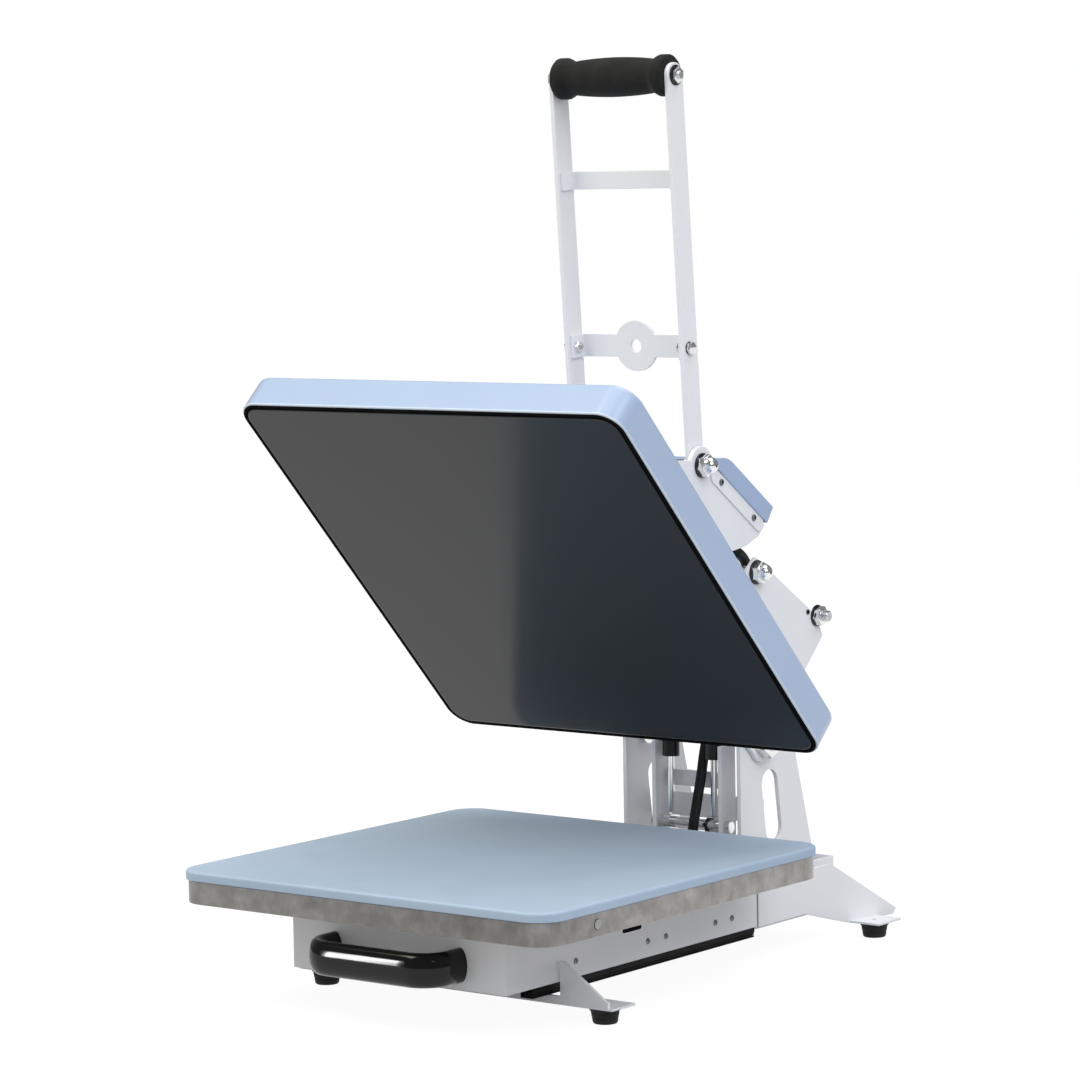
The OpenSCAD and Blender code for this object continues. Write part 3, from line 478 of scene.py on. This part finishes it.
FRAME_WHITE = coated("white_powder_coat", (0.86, 0.86, 0.885), rough=0.42, drift=0.015, peel=420.0,
                     peel_depth=0.0002, peel_strength=0.08)
COVER_BLUE = coated("blue_gloss_paint", (0.395, 0.5, 0.70), rough=0.32, drift=0.012, peel_strength=0,
                    coat=0.6, coat_rough=0.3)
LID_BLUE = coated("deeper_blue_gloss_paint", (0.33, 0.435, 0.65), rough=0.32, drift=0.012,
                  peel_strength=0, coat=0.6, coat_rough=0.3)
# Painted highlight: a lighter blue that stands for the light line along the cover's rolled lower edge
HEM_HIGHLIGHT_BLUE = coated("painted_highlight_on_rolled_hem", (0.66, 0.75, 0.88), rough=0.3, drift=0.012, peel_strength=0)
PLATE = cast_aluminium()
SILICONE = silicone()
FOAM = foam()
NON_STICK = non_stick()
CHROME = plated("bright_chrome", (0.86, 0.86, 0.86), 0.12)
ZINC = plated("zinc_plated_steel", (0.62, 0.62, 0.64), 0.3)
SCREW_GREY = plated("dull_screw_steel", (0.22, 0.22, 0.23), 0.4)
PLUG_GREY = plated("rubbed_plug", (0.4, 0.4, 0.4), 0.42)
DARK_STEEL = plated("blackened_screw_steel", (0.05, 0.05, 0.055), 0.35)
BLACK_GLOSS = coated("black_gloss_moulding", (0.004, 0.004, 0.004), rough=0.11, drift=0.1, peel=300.0,
                     peel_depth=0.00003, peel_strength=0.02, shine=0.3)
BLACK_STEEL = coated("black_lacquered_steel", (0.008, 0.008, 0.009), rough=0.34, drift=0.1, peel=300.0,
                     peel_depth=0.0001, peel_strength=0.06, shine=0.3)
RUBBER = coated("black_rubber", (0.016, 0.016, 0.017), rough=0.62, drift=0.15, peel=500.0,
                peel_depth=0.0003, peel_strength=0.25, shine=0.25)
RAIL_BLACK = coated("matte_black_rail", (0.004, 0.004, 0.0045), rough=0.5, drift=0.1, peel=300.0,
                    peel_depth=0.0001, peel_strength=0.06, shine=0.12)
# Matte black: the rim seal's own colour, and also painted shade on the drawer's sides and a painted dark
# reflection on the hot plate's edges
RIM_AND_SHADE_BLACK = coated("matte_black_rim_and_painted_shade", (0.003, 0.003, 0.003), rough=0.85, drift=0.15, peel=400.0,
                   peel_depth=0.0002, peel_strength=0.15, shine=0.08)
JACKET = coated("black_cable_jacket", (0.008, 0.008, 0.009), rough=0.45, drift=0.1, peel=600.0,
                peel_depth=0.0002, peel_strength=0.15, shine=0.3)
FILM = coated("grey_panel_film", (0.10, 0.105, 0.115), rough=0.45, drift=0.05, peel=800.0,
              peel_depth=0.0001, peel_strength=0.1)
GLASS_BLACK = coated("display_window", (0.006, 0.007, 0.008), rough=0.08, drift=0.05, peel=200.0,
                     peel_depth=0.00005, peel_strength=0.02, coat=0.6)
BUTTON_WHITE = coated("white_button", (0.82, 0.82, 0.82), rough=0.35, drift=0.02, peel=500.0,
                      peel_depth=0.0001, peel_strength=0.05)
WOOL = coated("fibre_wool", (0.66, 0.58, 0.42), rough=0.9, drift=0.15, peel=240.0, peel_depth=0.002,
              peel_strength=0.8)

FINISH_OF = {
    "white_powder_coat": FRAME_WHITE, "blue_gloss_paint": COVER_BLUE, "blue_silicone": SILICONE,
    "bare_aluminium": PLATE, "non_stick_coating": NON_STICK, "chrome": CHROME, "zinc_steel": ZINC,
    "black_steel": BLACK_STEEL, "black_rubber": RUBBER, "black_foam": FOAM, "black_plastic": BLACK_GLOSS,
    "panel_film": FILM, "white_plastic": BUTTON_WHITE, "insulation_wool": WOOL,
}
SLOT_OF = {part["node"]: part["material_slot"] for part in frame["record"]["subparts"]}


def paint(piece, material):
    piece.data.materials.clear()
    piece.data.materials.append(material)


def paint_faces(piece, material, wanted):
    """Gives the wanted faces a second finish."""
    piece.data.materials.append(material)
    pick_faces(piece, wanted)
    piece.active_material_index = 1
    bpy.ops.object.material_slot_assign()
    done()


def body_of(node):
    return nodes[node]["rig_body"]


def stands_for(piece, *replaced, material=None):
    """Finishes a piece with the first node's finish or the one given, hands it that node's body, and hides
    the solids it stands for.
    """
    slot = SLOT_OF[replaced[0]]
    paint(piece, material or FINISH_OF[slot])
    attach(piece, body_of(replaced[0]))
    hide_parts(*replaced)
    return piece


def eased(node, width, material=None):
    """A solid's sheet or bar with its sharp edges broken, or left sharp where the width is 0."""
    bpy.ops.object.select_all(action="DESELECT")
    piece = bpy.data.objects.new(node + "_eased", nodes[node].data.copy())
    bpy.context.scene.collection.objects.link(piece)
    edit(piece)
    bpy.ops.mesh.select_all(action="SELECT")
    bpy.ops.mesh.remove_doubles(threshold=2e-6)
    bpy.ops.mesh.dissolve_limited(angle_limit=math.radians(0.3))
    done()
    if width:
        break_edges(piece, width, clamp=False)
    smooth(piece, 40)
    flat_sides(piece)
    return stands_for(piece, node, material=material)


# The head cable, from the control box down to the inlet
def cable_path():
    route = [
        (36, 267.78, 347.34), (36, 271, 345), (36, 276.8, 342), (36, 282.3, 339.8), (36.3, 287.7, 337.6),
        (36.5, 292.9, 334.4), (36.7, 297.4, 330.1), (36.8, 301.1, 325), (36.6, 303.9, 319.4),
        (36.2, 305.6, 313.3), (34.4, 306.6, 303), (31, 305.8, 288), (26.3, 303.6, 272), (21, 300.5, 256),
        (16, 296, 239), (12, 290, 219), (10, 284, 199), (9, 278, 180), (9, 272, 162), (10, 266, 144),
        (11, 259, 126), (12, 252, 108), (11, 249, 92), (6, 253, 77), (2, 263, 64), (0, 277, 54),
        (0, 294, 47), (0, 309, 44), (0, 323, 44),
    ]
    points = [Vector((x / 1000, y / 1000 + PAD_Y, z / 1000)) for x, y, z in route]
    path = []
    for i in range(len(points) - 1):
        before, start = points[max(i - 1, 0)], points[i]
        end, after = points[i + 1], points[min(i + 2, len(points) - 1)]
        for step in range(4):
            t = step / 4
            path.append(0.5 * (2 * start + (end - before) * t
                               + (2 * before - 5 * start + 4 * end - after) * t * t
                               + (3 * start - before - 3 * end + after) * t * t * t))
    path.append(points[-1])
    return path


def swept(name, path, radius, swell=None):
    """A round tube along a path, with a share of the radius for each point of it."""
    bpy.ops.object.select_all(action="DESELECT")
    bpy.ops.curve.primitive_nurbs_path_add()
    line = bpy.context.object
    line.name = name
    curve = line.data
    curve.splines.clear()
    spline = curve.splines.new("POLY")
    spline.points.add(len(path) - 1)
    for i, point in enumerate(spline.points):
        point.co = (*path[i], 1)
        point.radius = swell[i] if swell else 1.0
    curve.dimensions = "3D"
    curve.bevel_depth = radius
    curve.bevel_resolution = 7
    curve.use_fill_caps = True
    only(line)
    bpy.ops.object.convert(target="MESH")
    return bpy.context.object


def head_cable():
    path = cable_path()
    cable = swept("head_cable_jacket", path, CABLE_RADIUS)
    smooth(cable, 60)
    paint(cable, JACKET)
    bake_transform(cable)
    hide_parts("head_cable")
    # The first 16 and the last 11 steps of the path lie in the boots
    boot("cable_boot_at_box", path[:17], "lift_arm")
    boot("cable_boot_at_inlet", path[-1:-13:-1], "base")


def boot(name, path, body):
    """Strain relief: a tapered sleeve with ribs, thick where the cable leaves the housing."""
    fine = []
    for a, b in zip(path, path[1:]):
        fine += [a + (b - a) * step / 4 for step in range(4)]
    last = len(fine) - 1
    swell = []
    for i in range(len(fine)):
        taper = 1.75 - 0.6 * i / last
        if i < 4:
            swell.append(2.0)
        elif i == last:
            swell.append(1.06)
        else:
            swell.append(taper * (0.88 if i % 8 in (4, 5, 6) else 1.0))
    piece = swept(name, fine, CABLE_RADIUS, swell)
    smooth(piece, 35)
    paint(piece, RUBBER)
    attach(piece, body)


# Soft pieces
def silicone_pad():
    low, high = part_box("silicone_pad")
    pad = brick("silicone_pad_sheet", low, high)
    round_corners(pad, 0.025, 14)
    round_rim(pad, high.z, 0.0024, 4)
    round_rim(pad, low.z, 0.0008, 2)
    smooth(pad, 50)
    flat_sides(pad)
    stands_for(pad, "silicone_pad")


def foam_grip():
    """A waisted sleeve: a flange at each end and a slight belly between them."""
    half, bore, flange, neck, belly = 0.0575, 0.0052, 0.0175, 0.0142, 0.0166
    waist = -half + 0.017
    end = [(-half, bore), (-half, flange - 0.003), (-half + 0.0006, flange - 0.0012),
           (-half + 0.002, flange), (-half + 0.0085, flange), (-half + 0.0105, flange - 0.0008),
           (-half + 0.0145, neck + 0.0004), (waist, neck)]
    profile = list(end)
    for step in range(1, 16):
        t = step / 16
        along = waist * (1 - 2 * t)
        profile.append((along, neck + (belly - neck) * math.sin(math.pi * t) ** 0.8))
    profile += [(-along, radius) for along, radius in reversed(end)]
    grip = turned("foam_grip_sleeve", profile + [profile[0]], 56)
    grip.location = (0, *handle_point(0, HANDLE_LENGTH))
    apply_place(grip)
    smooth(grip, 50)
    stands_for(grip, "handle_grip")


# The drawer
def drawer_pull():
    """A bowed pull with an oval section, drawn as a round tube and made taller."""
    half, bend, front, wall, height = 0.064, 0.022, PAD_Y - 0.175, PAD_Y - 0.138, 0.051
    right = [Vector((half, wall - (wall - front - bend) * step / 6, 0)) for step in range(6)]
    for step in range(13):
        angle = math.radians(90 * step / 12)
        right.append(Vector((half - bend + bend * math.cos(angle),
                             front + bend - bend * math.sin(angle), 0)))
    straight = [Vector(((half - bend) * (1 - step / 6), front, 0)) for step in range(1, 12)]
    left = [Vector((-point.x, point.y, 0)) for point in reversed(right)]
    pull = swept("drawer_pull_oval", right + straight + left, 0.007)
    pull.scale.z = 2.0
    pull.location.z = height
    apply_place(pull)
    smooth(pull, 60)
    return stands_for(pull, "drawer_pull")


def drawer_shade_patches():
    """Painted shade: thin black patches shaped as slots on the drawer's sides, under the platen."""
    face, depth = 0.10905, 0.0001
    slots = []
    for side in (-1, 1):
        slot = brick("side_slot", (side * face - depth, PAD_Y + 0.0147, 0.0557),
                     (side * face + depth, PAD_Y + 0.0404, 0.06))
        pick_edges(slot, lambda a, b: abs(a.x - b.x) > 1e-5)
        round_picked(0.0019, 4)
        slots.append(slot)
    piece = joined("drawer_side_shade_patches", slots)
    paint(piece, RIM_AND_SHADE_BLACK)
    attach(piece, "drawer")


# The heated head
def head_cover():
    cover = brick("head_cover_shell", HEAD_LOW + Vector((0, 0, 0.001)), HEAD_HIGH)
    round_corners(cover, HEAD_CORNER, 16)
    round_rim(cover, HEAD_HIGH.z, 0.004, 4)
    pick_faces(cover, lambda centre, normal: normal.z < -0.9)
    bpy.ops.mesh.delete(type="FACE")
    done()
    thicken(cover)
    paint(cover, COVER_BLUE)
    lip = HEAD_LOW.z + 0.001
    pick_edges(cover, lambda a, b: abs(a.z - lip) < 1e-5 and abs(b.z - lip) < 1e-5 and outer_edge(a, b))
    round_picked(0.0014, 4)
    # Painted highlight: the rolled hem along the lower edge gets the lighter blue
    paint_faces(cover, HEM_HIGHLIGHT_BLUE, lambda centre, normal: centre.z < lip + 0.0013)
    raise_head(cover)
    smooth(cover, 40)
    flat_sides(cover)
    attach(cover, "lift_arm")
    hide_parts("platen_cover")


def outer_edge(a, b):
    """True for an edge of the cover's outside, not of its inner wall."""
    inset = 0.0008
    low, high = HEAD_LOW, HEAD_HIGH
    middle = (a + b) / 2
    centre = (low + high) / 2
    half = (high - low) / 2
    dx = max(abs(middle.x - centre.x) - (half.x - HEAD_CORNER), 0)
    dy = max(abs(middle.y - centre.y) - (half.y - HEAD_CORNER), 0)
    return math.hypot(dx, dy) > HEAD_CORNER - inset


def hot_plate():
    inset = Vector((0.004, 0.004, 0))
    high = HEAD_HIGH - inset
    high.z = FACE_Z + 0.014
    plate = brick("hot_plate_coated", HEAD_LOW + inset, high)
    round_corners(plate, HEAD_CORNER - 0.004, 16)
    round_rim(plate, FACE_Z, 0.003, 4)
    paint(plate, NON_STICK)
    # Painted reflection: the hot plate's rounded edges and sides get matte black, standing for the dark
    # reflection along its rim
    paint_faces(plate, RIM_AND_SHADE_BLACK, lambda centre, normal: normal.z > -0.97)
    raise_head(plate)
    smooth(plate, 40)
    flat_sides(plate)
    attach(plate, "lift_arm")
    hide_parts("heat_platen")


# Fasteners
def hexagon(name, flats, low, high):
    """A hexagonal nut along +X with its outer rim rounded off."""
    radius = flats / 2 / math.cos(math.pi / 6)
    bpy.ops.object.select_all(action="DESELECT")
    bpy.ops.mesh.primitive_cylinder_add(vertices=6, radius=radius, depth=high - low,
                                        location=((low + high) / 2, 0, 0), rotation=(0, math.pi / 2, 0))
    nut = bpy.context.object
    nut.name = name
    apply_place(nut)
    pick_edges(nut, lambda a, b: a.x > high - 1e-5 and b.x > high - 1e-5)
    round_picked(0.12 * (high - low), 3)
    paint(nut, CHROME)
    return nut


def washer(name, radius, low, high):
    edge = 0.2 * (high - low)
    ring = turned(name, [(low, 0.0004), (low, radius - edge), (low + edge, radius), (high - edge, radius),
                         (high, radius - edge), (high, 0.0004)], 40)
    paint(ring, DARK_STEEL)
    return ring


def thread_end(name, radius, low, high):
    """The end of a bolt: shallow thread rings and a chamfered tip."""
    profile = [(low, radius)]
    pitch = 0.0011
    along = low
    while along + pitch < high - 0.0008:
        profile += [(along + 0.3 * pitch, radius * 0.9), (along + pitch, radius)]
        along += pitch
    profile += [(high - 0.0008, radius), (high, radius * 0.8), (high, 0.0003)]
    end = turned(name, profile, 32)
    paint(end, ZINC)
    return end


def dome(name, radius, low, high):
    crown = [(low, radius * 1.05)]
    for step in range(0, 10):
        angle = step * math.pi / 20
        crown.append((low + 0.0002 + (high - low) * math.sin(angle), radius * math.cos(angle) + 0.0002))
    cap = turned(name, crown, 40)
    paint(cap, CHROME)
    return cap


def screw_head(name, radius, height, socket, material):
    """A button head with a round socket."""
    head = turned(name, [(0, 0.0002), (0, radius), (0.3 * height, radius), (0.7 * height, 0.9 * radius),
                         (0.95 * height, 0.7 * radius), (height, socket + 0.0003), (height, socket),
                         (0.35 * height, socket * 0.9), (0.35 * height, 0.0002)], 28)
    paint(head, material)
    return head


RIGHT = Euler((0, 0, 0))
LEFT = Euler((0, 0, math.pi))


def on_both_sides(x, y, z, roll=0.0):
    return [((x, y, z), Euler((roll, 0, 0))), ((-x, y, z), Euler((roll, 0, math.pi)))]


def fasten(name, parts, places, body, node):
    pattern = joined(name + "_pattern", parts)
    smooth(pattern, 35)
    piece = placed_copies(name, pattern, places)
    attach(piece, body)
    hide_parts(node)


def arm_nuts():
    tall = [hexagon("dome_nut", 0.017, 0.002, 0.008), dome("dome_cap", 0.0074, 0.008, 0.0154),
            washer("dome_washer", 0.0105, 0, 0.002)]
    pattern = joined("dome_nut_pattern", tall)
    smooth(pattern, 35)
    front = placed_copies("arm_dome_nuts", pattern, on_both_sides(ARM_OUT, *HANDLE_PIVOT, 0.3)
                          + on_both_sides(ARM_OUT, *SPRING_BOLT, 0.6))
    low = [hexagon("tie_nut", 0.015, 0.0012, 0.0075), thread_end("tie_thread", 0.0048, 0.0075, 0.0135),
           washer("tie_washer", 0.0095, 0, 0.0012)]
    pattern = joined("tie_nut_pattern", low)
    smooth(pattern, 35)
    rear = placed_copies("arm_tie_nuts", pattern, on_both_sides(ARM_OUT, *TIE_BOLT, 0.2))
    nuts = joined("arm_nuts_bright", [front, rear])
    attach(nuts, "lift_arm")
    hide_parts("arm_nuts")


def axle_nuts():
    parts = [hexagon("axle_nut", 0.024, 0, 0.009)]
    places = on_both_sides(ARM_OUT + 0.0005, PIVOT.y, PIVOT.z, 0.4)
    fasten("axle_nuts_bright", parts, places, "base", "axle_nuts")


def handle_fasteners():
    y, z = handle_point(0, HANDLE_LENGTH)
    parts = [washer("grip_washer", 0.0085, 0, 0.0014), hexagon("grip_nut", 0.012, 0.0014, 0.0042),
             thread_end("grip_thread", 0.0038, 0.0042, 0.0062)]
    fasten("grip_rod_ends", parts, on_both_sides(BAR_OUT, y, z, 0.5), "handle", "grip_rod")
    y, z = handle_point(-0.0015, 0.099)
    outer = [hexagon("disc_bolt_head", 0.0095, 0.0008, 0.004), washer("disc_washer", 0.0055, 0, 0.0008)]
    inner = [hexagon("disc_nut", 0.0082, 0.0, 0.0035), thread_end("disc_thread", 0.0028, 0.0035, 0.005)]
    heads = placed_copies("disc_heads", joined("disc_head_pattern", outer),
                          on_both_sides(BAR_OUT, y, z, 0.2))
    ends = placed_copies("disc_ends", joined("disc_end_pattern", inner),
                         [((0.055, y, z), LEFT), ((-0.055, y, z), RIGHT)])
    bolts = joined("handle_bolts_bright", [heads, ends])
    smooth(bolts, 35)
    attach(bolts, "handle")
    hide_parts("handle_bolts")


def drawer_screws():
    places = []
    for y in (-48, 49, 74, 144, 168):
        places += on_both_sides(DRAWER_OUT, y / 1000 + PAD_Y, 0.044)
    parts = [screw_head("slide_screw", 0.0026, 0.001, 0.001, SCREW_GREY)]
    fasten("slide_screw_heads", parts, places, "drawer", "slide_screws")


def set_screws():
    """Small dark screws beside the tie bolt."""
    pattern = screw_head("set_screw", 0.0023, 0.0012, 0.001, DARK_STEEL)
    smooth(pattern, 35)
    piece = placed_copies("arm_set_screws", pattern, on_both_sides(ARM_OUT, 0.3493 + PAD_Y, 0.2815))
    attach(piece, "lift_arm")


def feet():
    outline = [(0.013, 0.0026), (0.013, 0.0121), (0.0126, 0.0125), (0.0108, 0.0125), (0.0103, 0.0121),
               (0.0098, 0.0113), (0.0093, 0.0114), (0.0055, 0.0108), (0.005, 0.0103), (0.0044, 0.0105),
               (0.0010, 0.0100), (0, 0.0092), (0, 0.0064), (0.005, 0.006), (0.005, 0.0026)]
    foot = turned("foot_pattern", outline + [outline[0]], 44)
    smooth(foot, 35)
    up = Euler((0, -math.pi / 2, 0))
    spots = ((0.144, -0.057), (-0.144, -0.057), (0.127, 0.358), (-0.127, 0.358))
    paint(foot, RUBBER)
    piece = placed_copies("rubber_feet", foot, [((x, y + PAD_Y, 0), up) for x, y in spots])
    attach(piece, "base")
    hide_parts("feet")


# The control box
def control_lid():
    """The lid: a bent sheet whose front edge rolls down."""
    half, front, depth, skirt, lip, roll = 0.07, -0.014, 0.084, 0.016, 0.0094, 0.025
    lid = brick("control_lid_rolled", (-half, front, -2 * roll), (half, depth, 0))
    pick_edges(lid, lambda a, b: max(a.y, b.y) < front + 1e-5 and min(a.z, b.z) > -1e-5)
    bpy.ops.mesh.bevel(offset=roll, segments=14, affect="EDGES")
    bpy.ops.mesh.select_all(action="SELECT")
    bpy.ops.mesh.bisect(plane_co=(0, 0, -skirt), plane_no=(0, 0, 1), clear_inner=True)
    done()
    pick_faces(lid, lambda centre, normal: normal.y < -0.1 and centre.z < -lip)
    bpy.ops.mesh.delete(type="ONLY_FACE")
    bpy.ops.mesh.select_all(action="SELECT")
    bpy.ops.mesh.delete_loose(use_verts=True, use_edges=True, use_faces=False)
    bpy.ops.mesh.select_all(action="SELECT")
    bpy.ops.mesh.normals_make_consistent(inside=False)
    done()
    thicken(lid, even=True)
    break_edges(lid, 0.0005, clamp=True)
    lid.location = (0, LID_HINGE[0], LID_HINGE[1])
    lid.rotation_euler = (LID_SLOPE, 0, 0)
    apply_place(lid)
    raise_head(lid)
    smooth(lid, 40)
    flat_sides(lid)
    stands_for(lid, "control_lid", material=LID_BLUE)


def lid_screws():
    places = []
    for along in (0.0075, 0.0655):
        y, z = lid_place(along, -0.022)
        places += on_both_sides(0.0685, y, z)
    parts = [screw_head("lid_screw", 0.0029, 0.0016, 0.0014, SCREW_GREY)]
    fasten("lid_screw_heads", parts, places, "lift_arm", "lid_screws")


# Controls
def outer_face(node, toward):
    """Centre and outward direction of the broad flat face of a solid that looks a given way."""
    mesh = nodes[node].data
    facing = [face for face in mesh.polygons if face.normal.dot(toward) > 0.9]
    best = max(facing, key=lambda face: face.area)
    normal = best.normal.copy()
    far = max(point.co.dot(normal) for point in mesh.vertices)
    rim = [point.co for point in mesh.vertices if point.co.dot(normal) > far - 1e-5]
    low = Vector([min(point[i] for point in rim) for i in range(3)])
    high = Vector([max(point[i] for point in rim) for i in range(3)])
    return (low + high) / 2, normal


def laid_on(piece, centre, normal, along=0.0):
    """Sets a flat piece, drawn about the origin facing up, on a face, a little way along it."""
    across = Vector((1, 0, 0))
    upward = normal.cross(across)
    spot = centre + along * upward
    turn = Matrix((across, upward, normal)).transposed().to_4x4()
    piece.matrix_world = Matrix.Translation(spot) @ turn
    apply_place(piece)


def button_marks():
    """Plain signs on the buttons: two arrow heads and a ring."""
    toward = outer_face("control_panel", Vector((0, -0.4, 0.9)))[1]
    for node, turn in (("button_up", 0.0), ("button_down", math.pi)):
        bpy.ops.object.select_all(action="DESELECT")
        bpy.ops.mesh.primitive_cylinder_add(vertices=3, radius=0.0022, depth=0.0002, rotation=(0, 0, turn))
        mark = bpy.context.object
        apply_place(mark)
        mark.name = node + "_mark"
        laid_on(mark, *outer_face(node, toward))
        paint(mark, FILM)
        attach(mark, body_of(node))
    bpy.ops.object.select_all(action="DESELECT")
    bpy.ops.mesh.primitive_torus_add(major_radius=0.0016, minor_radius=0.0003, major_segments=32,
                                     minor_segments=8)
    mark = bpy.context.object
    mark.name = "button_set_mark"
    laid_on(mark, *outer_face("button_set", toward))
    smooth(mark, 60)
    paint(mark, FILM)
    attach(mark, body_of("button_set"))


def knob_mark():
    centre, normal = outer_face("pressure_knob", Vector((0, 0.7, 0.7)))
    mark = brick("pressure_knob_mark", (-0.001, -0.006, -0.0001), (0.001, 0.006, 0.0001))
    laid_on(mark, centre, normal, 0.015)
    paint(mark, BUTTON_WHITE)
    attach(mark, body_of("pressure_knob"))


def inlet_blades():
    """Three contacts in the mains inlet."""
    blades = []
    for x, z in ((-0.0065, 0.0415), (0.0065, 0.0415), (0, 0.0465)):
        blades.append(brick("inlet_blade", (x - 0.001, PAD_Y + 0.3312, z - 0.002),
                            (x + 0.001, PAD_Y + 0.343, z + 0.002)))
    contacts = joined("inlet_contacts", blades)
    paint(contacts, ZINC)
    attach(contacts, "base")


# Studio
def set_stage():
    """A white floor and backdrop: rays that show the background see mostly plain white."""
    glow, floor_tone, white_share = 1.24, 0.40, 0.76
    air, air_for_gloss = 0.68, -0.42
    bpy.ops.object.select_all(action="DESELECT")
    bpy.ops.mesh.primitive_plane_add(size=40, location=(0, 0, 0))
    floor = bpy.context.object
    floor.name = "studio_floor"
    material = bpy.data.materials.new("pale_floor")
    material.use_nodes = True
    tree = material.node_tree
    tree.nodes.remove(tree.nodes["Principled BSDF"])
    seen = add(tree, "ShaderNodeEmission")
    seen.inputs["Color"].default_value = (1, 1, 1, 1)
    seen.inputs["Strength"].default_value = glow
    lit = add(tree, "ShaderNodeBsdfDiffuse")
    lit.inputs["Color"].default_value = (floor_tone, floor_tone, floor_tone, 1)
    blend = add(tree, "ShaderNodeMixShader")
    tree.links.new(background_rays(tree, white_share), blend.inputs["Fac"])
    tree.links.new(lit.outputs["BSDF"], blend.inputs[1])
    tree.links.new(seen.outputs["Emission"], blend.inputs[2])
    tree.links.new(blend.outputs["Shader"], tree.nodes["Material Output"].inputs["Surface"])
    paint(floor, material)

    world = bpy.data.worlds.new("studio_air")
    bpy.context.scene.world = world
    world.use_nodes = True
    tree = world.node_tree
    around = tree.nodes["Background"]
    around.inputs["Color"].default_value = (0.96, 0.98, 1, 1)
    path = add(tree, "ShaderNodeLightPath")
    dimmed = add(tree, "ShaderNodeMath", operation="MULTIPLY_ADD")
    tree.links.new(path.outputs["Is Glossy Ray"], dimmed.inputs[0])
    dimmed.inputs[1].default_value = air_for_gloss
    dimmed.inputs[2].default_value = air
    tree.links.new(dimmed.outputs["Value"], around.inputs["Strength"])
    backdrop = add(tree, "ShaderNodeBackground")
    backdrop.inputs["Color"].default_value = (1, 1, 1, 1)
    backdrop.inputs["Strength"].default_value = 1.0
    blend = add(tree, "ShaderNodeMixShader")
    tree.links.new(path.outputs["Is Camera Ray"], blend.inputs["Fac"])
    tree.links.new(around.outputs["Background"], blend.inputs[1])
    tree.links.new(backdrop.outputs["Background"], blend.inputs[2])
    tree.links.new(blend.outputs["Shader"], tree.nodes["World Output"].inputs["Surface"])


def background_rays(tree, share):
    """How far a ray that shows the background sees plain white."""
    path = add(tree, "ShaderNodeLightPath")
    either = add(tree, "ShaderNodeMath", operation="MAXIMUM")
    tree.links.new(path.outputs["Is Camera Ray"], either.inputs[0])
    tree.links.new(path.outputs["Is Glossy Ray"], either.inputs[1])
    amount = add(tree, "ShaderNodeMath", operation="MULTIPLY")
    tree.links.new(either.outputs["Value"], amount.inputs[0])
    amount.inputs[1].default_value = share
    return amount.outputs["Value"]


def set_light(name, place, target, size, power, colour):
    bpy.ops.object.light_add(type="AREA", location=place)
    lamp = bpy.context.object
    lamp.name = name
    lamp.data.size = size
    lamp.data.energy = power
    lamp.data.color = colour
    away = Vector(place) - Vector(target)
    lamp.rotation_euler = away.to_track_quat("Z", "Y").to_euler()
    return lamp


set_camera()
head_cable()
set_stage()
set_light("softbox_right", (2.6, -0.8, 2.4), (0, 0, 0.3), size=1.8, power=37, colour=(0.9, 0.94, 1))
set_light("softbox_front", (-1.4, -1.9, 3.5), (0, -0.1, 0.3), size=2.0, power=76, colour=(1, 0.955, 0.78))
set_light("softbox_top", (0.2, 0.6, 3.2), (0, 0, 0.3), size=2.2, power=32, colour=(1, 1, 1))
# A narrow light that only the drawer pull reflects
strip = set_light("strip_for_the_pull", (-2.3, -2.97, 0.62), (0, -0.28, 0.05), size=0.2, power=34,
                  colour=(1, 1, 1))
strip.data.shape = "RECTANGLE"
strip.data.size_y = 1.1
strip.visible_diffuse = False
strip.light_linking.receiver_collection = bpy.data.collections.new("lit_by_strip")

for name, node in nodes.items():
    paint(node, FINISH_OF[SLOT_OF[name]])

silicone_pad()
foam_grip()
strip.light_linking.receiver_collection.objects.link(drawer_pull())
drawer_shade_patches()
head_cover()
hot_plate()
arm_nuts()
axle_nuts()
handle_fasteners()
drawer_screws()
control_lid()
lid_screws()
set_screws()
feet()
paint(nodes["rim_seal"], RIM_AND_SHADE_BLACK)
paint(nodes["edge_plugs"], PLUG_GREY)
for name in ("base_tray", "front_leg", "rear_leg_left", "rear_leg_right", "upright_left", "upright_right",
             "spring_frame", "rear_cross_bar", "drawer_carriage", "arm_plate_left", "arm_plate_right",
             "platen_bracket", "handle_bar_left", "handle_bar_right", "handle_cross_bar", "link_left",
             "link_right"):
    eased(name, 0.0004)
eased("lower_platen", 0.0007)
eased("control_chassis", 0.0004)
eased("control_panel", 0.0004)
eased("display", 0.0004, material=GLASS_BLACK)
eased("pressure_knob", 0.0005)
eased("power_switch", 0.0002)
eased("power_inlet", 0.0005)
for name in ("button_up", "button_down", "button_set"):
    eased(name, 0.0004)
for name in ("slide_fixed", "slide_middle", "slide_inner"):
    eased(name, 0.0003, material=RAIL_BLACK)
for name in ("handle_disc_bar", "gas_cylinder_left", "gas_cylinder_right", "gas_rod_left", "gas_rod_right"):
    eased(name, 0)
button_marks()
knob_mark()
inlet_blades()

bpy.context.scene.view_settings.view_transform = "Standard"
